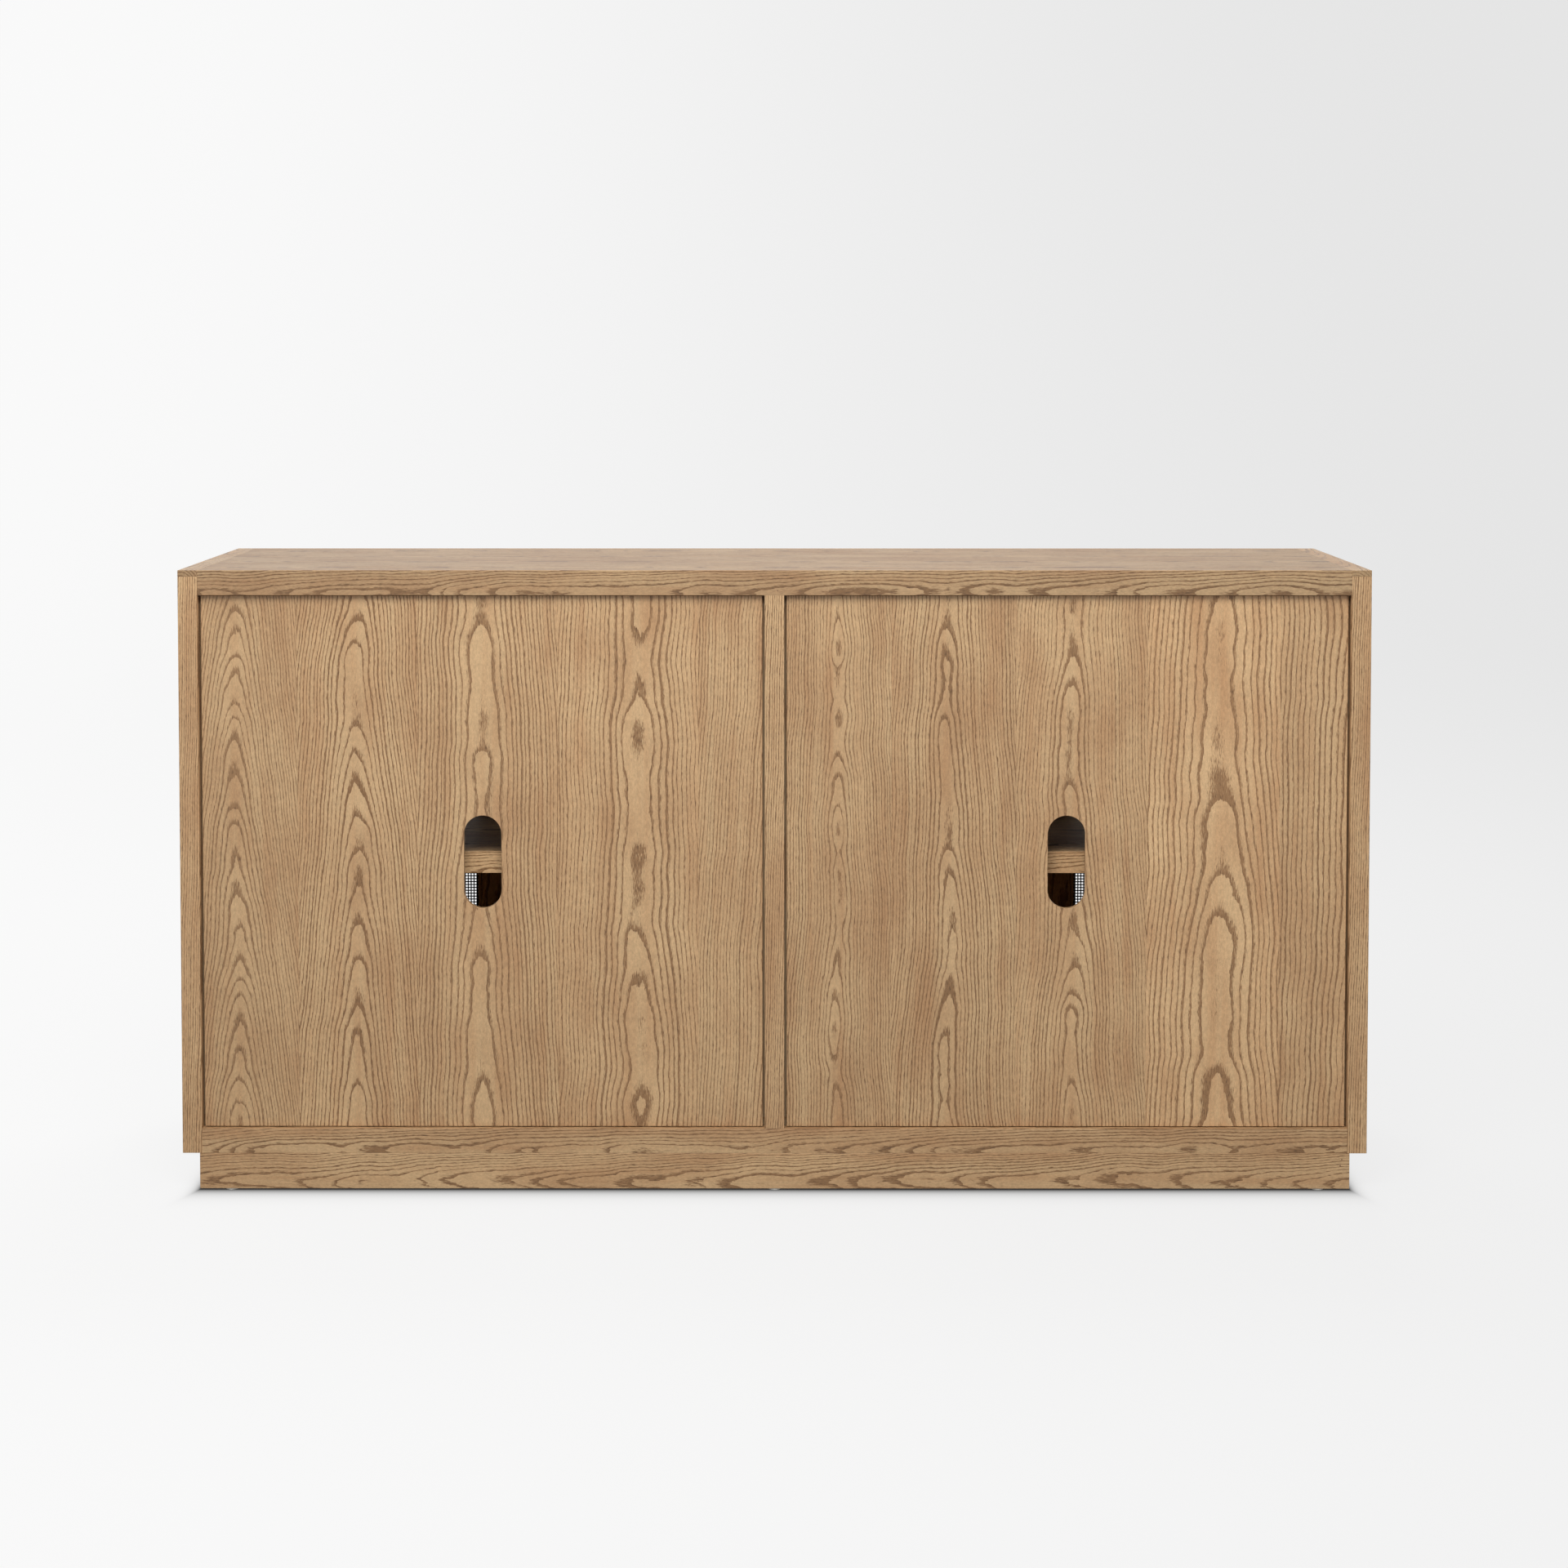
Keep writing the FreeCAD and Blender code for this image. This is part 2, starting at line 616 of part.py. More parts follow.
plinth_screws = node("plinth_screws", group("plinth_screws", screws))
node("plinth_corner_blocks", group("plinth_corner_blocks", blocks))

plinth_boards = (
    ("plinth_front_rail", (f"2 * {PLINTH_OUTER}", "plinth_thick", "plinth_height"),
     (f"-{PLINTH_OUTER}", PLINTH_FRONT, "glide_lift")),
    ("plinth_rear_rail", (f"2 * {PLINTH_OUTER}", "plinth_thick", "plinth_height"),
     (f"-{PLINTH_OUTER}", inner_rear, "glide_lift")),
    ("plinth_left_end", ("plinth_thick", end_length, "plinth_height"),
     (f"-{PLINTH_OUTER}", inner_front, "glide_lift")),
    ("plinth_right_end", ("plinth_thick", end_length, "plinth_height"),
     (plinth_inner, inner_front, "glide_lift")),
)
for name, size, corner in plinth_boards:
    node(name, cut(name, board(f"{name}_board", size, corner), [floor_glides, brad_holes]))
braces = [
    board(f"brace_{k + 1}", ("plinth_thick", end_length, "plinth_height"),
          (f"({k}) * case_width / 4 - plinth_thick / 2", inner_front, "glide_lift"))
    for k in (-1, 0, 1)
]
node("plinth_braces", group("plinth_braces", [
    cut(f"{brace.Name}_bored", brace, [floor_glides]) for brace in braces
]))


# --- case --------------------------------------------------------------------------------------------

deck = (f"2 * {BAY_OUTER}", "case_depth", "deck_thick")
top = board("top_board", deck, (f"-{BAY_OUTER}", FRONT, BAY_HIGH))
node("top_panel", cut("top_panel", top, [case_dowels, brad_holes] + catch_screws + back_screws))
bottom = board("bottom_board", deck, (f"-{BAY_OUTER}", FRONT, FOOT))
node("bottom_panel", cut("bottom_panel", bottom, [case_dowels, plinth_screws] + back_screws))

# A solid lipping covers the top edge of each side.
side = ("side_thick", "case_depth", f"case_height - lipping_thick - {FOOT}")
lippings = []
for bay, x in (("left", "-case_width / 2"), ("right", BAY_OUTER)):
    lippings.append(board(f"{bay}_lipping", ("side_thick", "case_depth", "lipping_thick"),
                          (x, FRONT, "case_height - lipping_thick")))
    blank = board(f"{bay}_side_board", side, (x, FRONT, FOOT))
    tools = [case_dowels, case_hinge_screws] + back_screws
    tools += pin_holes[f"{bay}_outer"] + case_beds[f"door_outer_{bay}"]
    node(f"{bay}_side_panel", cut(f"{bay}_side_panel", blank, tools))

node("side_top_lippings", group("side_top_lippings", lippings))

upright = ("partition_thick", "case_depth", BAY_HEIGHT)
partition = board("partition_board", upright, (f"-{BAY_INNER}", FRONT, BAY_LOW))
tools = [case_dowels, case_hinge_screws] + back_screws
for bay in ("left", "right"):
    tools += pin_holes[f"{bay}_inner"] + case_beds[f"door_inner_{bay}"]
node("centre_partition", cut("centre_partition", partition, tools))

for bay, low in BAYS:
    shelf = (f"{BAY_WIDTH} - 2 * shelf_play", "case_depth - 2 * shelf_setback", "shelf_thick")
    corner = (f"{low} + shelf_play", f"{FRONT} + shelf_setback", "shelf_height")
    node(f"{bay}_shelf", board(f"{bay}_shelf", shelf, corner))


# --- doors -------------------------------------------------------------------------------------------


def door_parts(name, face, sign):
    """A framed door beside the case face that carries it, on the given side of that face.

    Two rails are tenoned into two stiles. A rebate round the back of the opening holds the mesh, kept in
    by beads, and the knob's bolt comes through the middle of the meeting stile.
    """
    edge = f"({face} + ({sign}) * door_gap)"
    opening = f"({DOOR_HEIGHT} - 2 * frame_width)"
    meeting = f"({DOOR_WIDTH} - frame_width)"
    lip_low = f"({DOOR_LOW} + frame_width - rebate_width)"
    lip_high = f"({opening} + 2 * rebate_width)"
    rebate_y = f"({DOOR_BACK} - rebate_depth)"
    tenon_y = f"({FRONT} + tenon_setback)"
    rail_levels = (("foot", DOOR_LOW), ("head", f"({DOOR_LOW} + {DOOR_HEIGHT} - frame_width)"))

    # A rail's two tenons are one bar through it, and the bar is also the tool that cuts the mortises.
    bar = f"({RAIL_LENGTH} + 2 * tenon_length)"
    bar_x = span(edge, sign, "frame_width - tenon_length", bar)
    tenons = [
        box(f"{name}_tenons_{level}", (bar, "tenon_thick", "frame_width - 2 * tenon_shoulder"),
            (bar_x, tenon_y, f"{low} + tenon_shoulder"))
        for level, low in rail_levels
    ]
    lip_start = "(frame_width - rebate_width)"
    lip_width = f"({RAIL_LENGTH} + 2 * rebate_width)"
    rebate = box(f"{name}_rebate", (lip_width, "rebate_depth", lip_high),
                 (span(edge, sign, lip_start, lip_width), rebate_y, lip_low))

    # Hinge leaves and every fixing of the door.
    pin_x = f"{face} + ({sign}) * door_gap / 2"
    leaves = []
    beds = []
    screws = []
    for k, height in enumerate(HINGE_HEIGHTS):
        turn = Rotation() if sign > 0 else OVER
        leaves.append(copy_of(door_leaf, f"{name}_leaf_{k}", (pin_x, PIVOT_Y, height), turn))
        beds.append(leaf_bed(f"{name}_bed_{k}", edge, sign, height))
        screws += leaf_screws(f"{name}_screw_{k}", edge, sign, height)
    node(f"{name}_hinge_leaves", group(f"{name}_hinge_leaves", leaves))

    knob_x = f"{edge} + ({sign}) * ({DOOR_WIDTH} - frame_width / 2)"
    knob_z = f"{DOOR_LOW} + {DOOR_HEIGHT} / 2"
    bolt = fused(f"{name}_bolt", [
        rod(f"{name}_bolt_shank", "bolt_radius", "door_thick + bolt_bite", (knob_x, DOOR_BACK, knob_z), "-y"),
        rod(f"{name}_bolt_head", "bolt_head_radius", "bolt_head_height", (knob_x, DOOR_BACK, knob_z), "+y"),
    ])
    node(f"{name}_knob", group(f"{name}_knob", [
        copy_of(knob, f"{name}_knob_copy", (knob_x, FRONT, knob_z), TOWARDS["-y"])
    ]))

    strike_start = f"({DOOR_WIDTH} - strike_inset - strike_length)"
    strike_low = f"({DOOR_LOW} + {DOOR_HEIGHT} - strike_drop - strike_height)"
    strike_x = f"{edge} + ({sign}) * ({strike_start} + strike_length / 2)"
    strike_mid = (strike_x, f"{DOOR_BACK} + strike_thick", f"{strike_low} + strike_height / 2")
    strike_screw = copy_of(hinge_screw, f"{name}_strike_screw", strike_mid, TOWARDS["-y"])
    plate = box(f"{name}_strike_blank", ("strike_length", "strike_thick", "strike_height"),
                (span(edge, sign, strike_start, "strike_length"), DOOR_BACK, strike_low))
    strike = cut(f"{name}_strike", plate, [strike_screw])
    node(f"{name}_fixings", group(f"{name}_fixings", screws + [bolt, strike, strike_screw]))

    stile = ("frame_width", "door_thick", DOOR_HEIGHT)
    for role, start, tools in (("hinge", "0", beds + screws), ("meeting", meeting, [bolt, strike_screw])):
        corner = (span(edge, sign, start, "frame_width"), FRONT, DOOR_LOW)
        blank = board(f"{name}_{role}_board", stile, corner)
        node(f"{name}_{role}_stile", cut(f"{name}_{role}_stile", blank, tenons + [rebate] + tools))
    rails = []
    for (level, low), tenon in zip(rail_levels, tenons):
        rail = board(f"{name}_rail_{level}", (RAIL_LENGTH, "door_thick", "frame_width"),
                     (span(edge, sign, "frame_width", RAIL_LENGTH), FRONT, low))
        tenoned = fused(f"{name}_rail_{level}_tenoned", [rail, tenon])
        rails.append(cut(f"{name}_rail_{level}_rebated", tenoned, [rebate]))
    node(f"{name}_rails", group(f"{name}_rails", rails))

    mesh_start = "(frame_width - rebate_width + mesh_play)"
    mesh_width = f"({RAIL_LENGTH} + 2 * (rebate_width - mesh_play))"
    mesh_x = span(edge, sign, mesh_start, mesh_width)
    mesh = (mesh_width, "mesh_thick", f"{lip_high} - 2 * mesh_play")
    node(f"{name}_wire_mesh", box(f"{name}_wire_mesh", mesh, (mesh_x, rebate_y, f"{lip_low} + mesh_play")))

    bead_depth = "rebate_depth - mesh_thick"
    bead_y = f"{rebate_y} + mesh_thick"
    cross = f"({lip_width} - 2 * bead_width)"
    cross_x = span(edge, sign, f"{lip_start} + bead_width", cross)
    node(f"{name}_mesh_beads", group(f"{name}_mesh_beads", [
        board(f"{name}_bead_a", ("bead_width", bead_depth, lip_high),
              (span(edge, sign, lip_start, "bead_width"), bead_y, lip_low)),
        board(f"{name}_bead_b", ("bead_width", bead_depth, lip_high),
              (span(edge, sign, f"{lip_start} + {lip_width} - bead_width", "bead_width"), bead_y, lip_low)),
        board(f"{name}_bead_foot", (cross, bead_depth, "bead_width"), (cross_x, bead_y, lip_low)),
        board(f"{name}_bead_head", (cross, bead_depth, "bead_width"),
              (cross_x, bead_y, f"{lip_low} + {lip_high} - bead_width")),
    ]))


for door, face, sign in DOORS:
    door_parts(door, face, sign)


# --- checks and files --------------------------------------------------------------------------------

doc.recompute()
for thing in doc.Objects:
    if {"Invalid", "Error"} & set(thing.State):
        raise RuntimeError(f"{thing.Name} failed: {thing.State}")
for thing in nodes:
    if thing.Shape.isNull() or not thing.Shape.isValid():
        raise RuntimeError(f"{thing.Label} has no valid shape")

os.makedirs("parts", exist_ok=True)
for thing in nodes:
    thing.Shape.exportStep(f"parts/{thing.Label}.step")
    print(f"{thing.Label}: {len(thing.Shape.Solids)} solids, {thing.Shape.Volume / 1000:.1f} cm3")
print(f"{len(nodes)} nodes")
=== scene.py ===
"""A low ash media cabinet with four wire-mesh doors: the looks of every piece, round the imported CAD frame."""
import math
from collections import namedtuple

import bpy
import numpy as np
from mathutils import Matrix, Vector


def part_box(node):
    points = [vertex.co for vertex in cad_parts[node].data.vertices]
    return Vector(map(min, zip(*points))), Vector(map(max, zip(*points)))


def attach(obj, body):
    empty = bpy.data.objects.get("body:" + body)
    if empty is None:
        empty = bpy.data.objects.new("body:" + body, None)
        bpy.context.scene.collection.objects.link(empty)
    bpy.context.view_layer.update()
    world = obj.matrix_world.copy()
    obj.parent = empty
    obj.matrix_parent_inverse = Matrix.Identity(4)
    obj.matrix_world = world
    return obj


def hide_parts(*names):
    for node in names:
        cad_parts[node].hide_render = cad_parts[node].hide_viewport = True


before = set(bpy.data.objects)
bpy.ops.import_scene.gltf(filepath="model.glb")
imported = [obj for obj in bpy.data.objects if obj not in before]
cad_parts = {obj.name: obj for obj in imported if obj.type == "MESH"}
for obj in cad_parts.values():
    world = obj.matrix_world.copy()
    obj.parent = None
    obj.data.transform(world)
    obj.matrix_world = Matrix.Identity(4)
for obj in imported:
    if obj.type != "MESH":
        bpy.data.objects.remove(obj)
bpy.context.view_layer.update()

# ---- Plinth ---------------------------------------------------------------------------------------------
# Four veneered ash boards on edge that carry the case, set in from its sides. The rails run the whole width
# and the ends fit between them. Flat-cut ash, lacquered satin: a dark, porous band opens each year's ring.


class Value:
    """A number in a finish. Arithmetic on it, from either side, adds the Math nodes."""

    def __init__(self, finish, socket):
        self.finish = finish
        self.socket = socket

    def __add__(self, other):
        return self.finish.sum("ADD", self, other)

    def __radd__(self, other):
        return self.finish.sum("ADD", other, self)

    def __sub__(self, other):
        return self.finish.sum("SUBTRACT", self, other)

    def __rsub__(self, other):
        return self.finish.sum("SUBTRACT", other, self)

    def __mul__(self, other):
        return self.finish.sum("MULTIPLY", self, other)

    def __rmul__(self, other):
        return self.finish.sum("MULTIPLY", other, self)

    def __truediv__(self, other):
        return self.finish.sum("DIVIDE", self, other)

    def __gt__(self, other):
        return self.finish.sum("GREATER_THAN", self, other)

    def __lt__(self, other):
        return self.finish.sum("LESS_THAN", self, other)


class Finish:
    """One finish of the cabinet: a material and the nodes that work out its surface."""

    def __init__(self, name):
        self.material = bpy.data.materials.new(name)
        self.material.use_nodes = True
        self.tree = self.material.node_tree
        self.tree.nodes.clear()

    def node(self, kind, settings, sockets, output=0):
        """Adds one node: its settings first, then the values or links of its sockets. Gives one output."""
        made = self.tree.nodes.new("ShaderNode" + kind)
        for name, setting in settings.items():
            setattr(made, name, setting)
        for name, value in sockets.items():
            socket = made.inputs[name]
            if isinstance(value, Value):
                self.tree.links.new(value.socket, socket)
            elif socket.type == "VECTOR":
                socket.default_value = value[:3]
            else:
                socket.default_value = value
        return Value(self, made.outputs[output]) if made.outputs else None

    def sum(self, operation, first, second=0.0):
        """One Math node."""
        return self.node("Math", {"operation": operation}, {0: first, 1: second})

    def place(self):
        """The point on the piece, in millimetres along x, y and z of the cabinet's own frame."""
        point = self.node("TexCoord", {}, {}, "Object")
        return [1000 * self.node("SeparateXYZ", {}, {0: point}, axis) for axis in range(3)]

    def noise(self, x, y, z, detail=2.0, roughness=0.5):
        """Cloudy noise about nought, from about -0.5 to 0.5, whose lumps are one unit across."""
        point = self.node("CombineXYZ", {}, {0: x, 1: y, 2: z})
        sockets = {"Vector": point, "Scale": 1.0, "Detail": detail, "Roughness": roughness}
        return self.node("TexNoise", {}, sockets) - 0.5

    def step(self, value, low, high):
        """Nought below low, one above high, and a smooth step between them."""
        sockets = {"Value": value, "From Min": low, "From Max": high}
        return self.node("MapRange", {"interpolation_type": "SMOOTHSTEP"}, sockets)

    def blend(self, share, first, second):
        """The first colour where share is nought, and the second where it is one."""
        # A colour mix takes its two colours on sockets 6 and 7, and gives its own on output 2.
        return self.node("Mix", {"data_type": "RGBA"}, {0: share, 6: first, 7: second}, 2)

    def shade(self, colour, amount):
        """A colour made lighter or darker by a number."""
        return self.node("VectorMath", {"operation": "SCALE"}, {0: colour, "Scale": amount})

    def surface(self, colour, roughness, height, **fixed):
        """The shader itself. Height is the relief in millimetres, and fixed are the same all over."""
        relief = self.node("Bump", {}, {"Strength": 1.0, "Distance": 0.001, "Height": height})
        sockets = {"Base Color": colour, "Roughness": roughness, "Normal": relief}
        for name, value in fixed.items():
            sockets[name.replace("_", " ")] = value
        shader = self.node("BsdfPrincipled", {}, sockets)
        self.node("OutputMaterial", {}, {"Surface": shader})
        return self.material


# One leaf of veneer or one board. Across the grain it ends at edge, and its heart line lies at centre and
# leans by lean. The cut passes heart from the pith, give or take swing. Rings are ring apart and climb by
# taper along the grain. Contrast is how dark the early wood is, and tone how light the whole leaf.
Leaf = namedtuple("Leaf", "edge centre heart swing ring taper lean contrast tone")
NO_EDGE = 1e6


def leaf(centre, heart=30, swing=8, ring=4.2, taper=0.05, lean=0, contrast=1, tone=1, edge=NO_EDGE):
    """A leaf with the usual figure where nothing else is said. Lengths are in millimetres."""
    return Leaf(edge, centre, heart, swing, ring, taper, lean, contrast, tone)


# Pale late wood and its rosier patches, the dark early wood, and the open pores in that.
LATE_WOOD = (0.640, 0.425, 0.225, 1)
ROSY_WOOD = (0.465, 0.262, 0.126, 1)
EARLY_WOOD = (0.270, 0.145, 0.064, 1)
PORE = (0.090, 0.044, 0.020, 1)

# What bends the rings: how far each bends them, then its length along and its width across, in millimetres.
SWAY = (30, 260)
WOBBLE = (4, 60)
SWING_LENGTH = 130
WAVES = (5, 120, 34)
JAGS = (1.1, 12, 3.5)
# How uneven the years are: the share of a year by which a ring comes early or late, and its change per ring.
UNEVEN_YEARS = (1.0, 0.45)
# The early wood takes up this share of a year, and up to so much more in a lucky one. It starts to show just
# before the year turns.
EARLY_SHARE = 0.42
LUCKY_SHARE = 0.3
YEAR_TURNS = 0.94
# Length along and width across of a pore's dash, a bundle of fibres, a streak, a cloud and a patch of mottle.
DASH = (8, 1.1)
FIBRE = (5, 2.2)
STREAK = (420, 13)
CLOUD = (130, 60)
MOTTLE = (9, 30)
LEAF_NUMBERS_APART = 7.31


def ash(name, grain, leaves, seed, gloss=0.40, sheen=0.3):
    """Flat-cut ash under a satin lacquer.

    grain gives (along, across, through) from the point's x, y and z. Rings are the whole numbers of
    growth = (sqrt(u*u + h*h) + taper * along + waves + jags) / ring, where u is the distance across from the
    heart line and h is the depth of the cut from the pith. Where h swings through nought, arches close into
    ovals. Early wood opens each ring and fades, and dashes of pores break it up. The lacquer's roughness is
    gloss and its specular level is sheen.
    """
    finish = Finish(name)
    along, across, through = grain(*finish.place())
    past = [across > one.edge for one in leaves[:-1]]

    def by_leaf(field):
        values = [getattr(one, field) for one in leaves]
        result = values[0]
        for mask, before, after in zip(past, values, values[1:]):
            if after != before:
                result = mask * (after - before) + result
        return result

    number = seed
    for mask in past:
        number = mask * LEAF_NUMBERS_APART + number

    def lumps(size, shift, detail=2.0, roughness=0.5):
        length, width = size
        return finish.noise(along / length, across / width, through / width + shift, detail, roughness)

    sway = finish.noise(along / SWAY[1], number, seed) * SWAY[0]
    sway = sway + finish.noise(along / WOBBLE[1], number, seed + 5) * WOBBLE[0]
    swing = finish.noise(along / SWING_LENGTH, number, seed + 9) * 2 * by_leaf("swing")
    u = across - by_leaf("centre") - sway - along * by_leaf("lean")
    h = through + by_leaf("heart") + swing
    radius = finish.sum("SQRT", u * u + h * h)
    waves = lumps(WAVES[1:], number) * WAVES[0]
    jags = lumps(JAGS[1:], number) * JAGS[0]
    growth = (radius + along * by_leaf("taper") + waves + jags) / by_leaf("ring")
    growth = growth + finish.noise(growth * UNEVEN_YEARS[1], number, seed) * UNEVEN_YEARS[0]
    season = finish.sum("FRACT", growth)
    year = finish.node("CombineXYZ", {}, {0: finish.sum("FLOOR", growth), 1: number})
    luck = finish.node("TexWhiteNoise", {"noise_dimensions": "2D"}, {"Vector": year})

    fading = 1 - finish.step(season / (EARLY_SHARE + LUCKY_SHARE * luck), 0.0, 1.0)
    opening = finish.sum("MAXIMUM", fading, finish.step(season, YEAR_TURNS, 1.0))
    dashes = finish.noise(along / DASH[0], across / DASH[1], through / DASH[1], 2.0, 0.6)
    fibre = finish.noise(along / FIBRE[0], across / FIBRE[1], through / FIBRE[1], 3.0, 0.75)
    band = finish.step(opening * (0.70 + 0.30 * luck) + dashes * 1.5 + fibre * 0.8, 0.28, 0.74)
    pores = finish.step(dashes, 0.02, 0.19) * (0.08 + 0.92 * opening)

    streak = lumps(STREAK, number, 3.0, 0.6)
    cloud = lumps(CLOUD, number)
    mottle = lumps(MOTTLE, number)
    colour = finish.blend(finish.step(cloud + streak, -0.34, 0.46), LATE_WOOD, ROSY_WOOD)
    colour = finish.blend(band * by_leaf("contrast") * 0.95, colour, EARLY_WOOD)
    colour = finish.blend(pores * 0.70, colour, PORE)
    tone = 1 + fibre * 0.85 + streak * 0.26 + mottle * 0.12
    colour = finish.shade(colour, tone * by_leaf("tone"))
    roughness = gloss + 0.16 * pores - 0.05 * opening + 0.06 * cloud
    height = fibre * 0.02 - pores * 0.04
    return finish.surface(colour, roughness, height, Specular_IOR_Level=sheen)


def upright_in_x(x, y, z):
    """Grain that runs up z, with the board's width across x."""
    return z, x, y


def upright_in_y(x, y, z):
    """Grain that runs up z, with the board's width across y."""
    return z, y, x


def lying_in_y(x, y, z):
    """Grain that runs along x, with the board's width across y."""
    return x, y, z


def lying_in_z(x, y, z):
    """Grain that runs along x, with the board on edge, so that its width stands up z."""
    return x, z, y


def running_back(x, y, z):
    """Grain that runs along y, with the board on edge, so that its width stands up z."""
    return y, z, x


def middle(node):
    """The middle of a CAD node, in millimetres."""
    low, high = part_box(node)
    return 1000 * (low + high) / 2


def dress(node, material):
    """Gives a CAD node its finish."""
    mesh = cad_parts[node].data
    mesh.materials.clear()
    mesh.materials.append(material)


def board(node, grain, seed, offset, heart, **figure):
    """One whole board of ash. Its heart line is offset and heart away from the board's own middle."""
    along, across, through = grain(*middle(node))
    dress(node, ash("ash_" + node, grain, [leaf(across + offset, heart - through, **figure)], seed))


board("plinth_rear_rail", lying_in_z, 11, offset=-14, heart=22, ring=2.3, taper=0.035, swing=4)
board("plinth_front_rail", lying_in_z, 12, offset=10, heart=26, ring=2.5, taper=0.035, swing=4)
board("plinth_left_end", running_back, 13, offset=9, heart=24, ring=7)
board("plinth_right_end", running_back, 14, offset=-9, heart=24, ring=7)

# ---- Plinth braces and corner blocks -----------------------------------------------------------------------
# Bare spruce that nobody sees: braces tie the rails together and the blocks, sawn to a wedge, stiffen the
# corners. Straight, pale and furry from the saw, with thin orange lines of late wood.

SPRUCE = (0.62, 0.45, 0.26, 1)
SPRUCE_LINE = (0.42, 0.22, 0.09, 1)
SPRUCE_RING = 3.6
SPRUCE_SLANT = 0.3


def spruce(name, grain, seed, tone=1):
    """Sawn softwood: thin dark lines where growth = (through + slant * across + waves) / ring ends a year."""
    finish = Finish(name)
    along, across, through = grain(*finish.place())
    waves = finish.noise(along / 180, across / 40, through / 40 + seed) * 9
    season = finish.sum("FRACT", (through + across * SPRUCE_SLANT + waves) / SPRUCE_RING)
    line = finish.step(season, 0.45, 0.95) * (1 - finish.step(season, 0.95, 1.0))
    fur = finish.noise(along / 5, across / 0.5, through / 0.5 + seed, 3.0, 0.7)
    colour = finish.blend(line * 0.75, SPRUCE, SPRUCE_LINE)
    colour = finish.shade(colour, tone * (1 + fur * 0.35))
    return finish.surface(colour, 0.72 + fur * 0.2, fur * 0.06)


dress("plinth_braces", spruce("spruce_braces", running_back, 21))
dress("plinth_corner_blocks", spruce("spruce_blocks", lying_in_z, 22))

# ---- Screws ------------------------------------------------------------------------------------------------
# Zinc-plated steel wood screws that hold the plinth together and the backs to their cleats. Bright and
# slightly blue, with the fine cloudiness of barrel plating.

ZINC = (0.62, 0.64, 0.66, 1)
ZINC_DULL = (0.44, 0.44, 0.43, 1)


def plated(name, bright, dull, roughness, seed):
    """Plated metal: blotches a few millimetres across, and a finer peel that roughens it."""
    finish = Finish(name)
    x, y, z = finish.place()
    blotch = finish.noise(x / 3, y / 3, z / 3 + seed, 4.0, 0.6)
    peel = finish.noise(x / 0.35, y / 0.35, z / 0.35 + seed, 2.0)
    colour = finish.blend(finish.step(blotch, -0.2, 0.3), bright, dull)
    return finish.surface(colour, roughness + blotch * 0.22 + peel * 0.08, peel * 0.012, Metallic=1.0)


for screws in ("plinth_screws", "back_screws"):
    dress(screws, plated("zinc_" + screws, ZINC, ZINC_DULL, 0.34, 31))

# ---- Floor glides ------------------------------------------------------------------------------------------
# Flat nylon discs nailed under the plinth, so that it slides and never stands in the wet. Moulded off-white,
# scuffed by the floor.

NYLON = (0.66, 0.64, 0.58, 1)
NYLON_SCUFF = (0.40, 0.38, 0.34, 1)


def moulded(name, clean, scuffed, roughness, seed):
    """Moulded plastic: a fine spark-eroded grain, and scuffs where it has rubbed."""
    finish = Finish(name)
    x, y, z = finish.place()
    scuff = finish.step(finish.noise(x / 6, y / 1.5, z / 6 + seed, 4.0, 0.65), 0.02, 0.26)
    grit = finish.noise(x / 0.4, y / 0.4, z / 0.4 + seed, 2.0)
    colour = finish.shade(finish.blend(scuff * 0.6, clean, scuffed), 1 + grit * 0.12)
    return finish.surface(colour, roughness + scuff * 0.16 + grit * 0.1, grit * 0.02)


dress("floor_glides", moulded("nylon_glides", NYLON, NYLON_SCUFF, 0.42, 41))

# ---- Bottom and top panels ---------------------------------------------------------------------------------
# Veneered boards that lie between the sides, with the figure running the length of the cabinet. Their long
# edges are lipped with solid ash, glued on before the veneer, in which the rings show as long flames.

LIPPING = 8


def lipped(leaves, half_depth, through, tone, heart, swing, inset):
    """The leaves between two lippings of one figure, whose heart lines lie inset from the edges.

    Deep hearts draw straight lines along the edges, and near ones draw flames.
    """
    figure = dict(heart=heart - through, swing=swing, ring=3.0, taper=0.03, tone=tone)
    front = leaf(inset - half_depth, edge=LIPPING - half_depth, **figure)
    rear = leaf(half_depth - inset, **figure)
    return [front] + leaves[:-1] + [leaves[-1]._replace(edge=half_depth - LIPPING), rear]


def side_by_side(hearts, half_depth, through, tone, taper):
    """Leaves of equal width from front to back, each with its heart line just behind the leaf's middle."""
    width = 2 * half_depth / len(hearts)
    starts = [place * width - half_depth for place in range(len(hearts))]
    return [leaf(start + width * 0.52, heart - through, 9, taper=taper, tone=tone, edge=start + width)
            for start, heart in zip(starts, hearts)]


def long_panel(node, seed, hearts, tone=1, edge_tone=0.9, gloss=0.40, sheen=0.3):
    """A lying panel, as deep as its own node, with its leaves' figure running the length of the cabinet."""
    half_depth = 1000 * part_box(node)[1].y
    through = middle(node)[2]
    leaves = side_by_side(hearts, half_depth, through, tone, taper=0.03)
    laid = lipped(leaves, half_depth, through, edge_tone, heart=13, swing=4, inset=18)
    dress(node, ash("ash_" + node, lying_in_y, laid, seed, gloss, sheen))


long_panel("bottom_panel", 51, (22, 34, 30, 26), edge_tone=0.96)
# The top's ash is painted darker than the other boards' (tone 0.62). This is painted shade against the strong
# light that falls on it from the high panels.
long_panel("top_panel", 52, (34, 20, 42, 28), tone=0.62, edge_tone=0.80, gloss=0.42, sheen=0.32)

# ---- Sides and their lippings ------------------------------------------------------------------------------
# Veneered boards the whole height of the case, figure upright. A solid strip of ash caps each one's top edge
# and runs from front to back, so its rear end shows end grain.


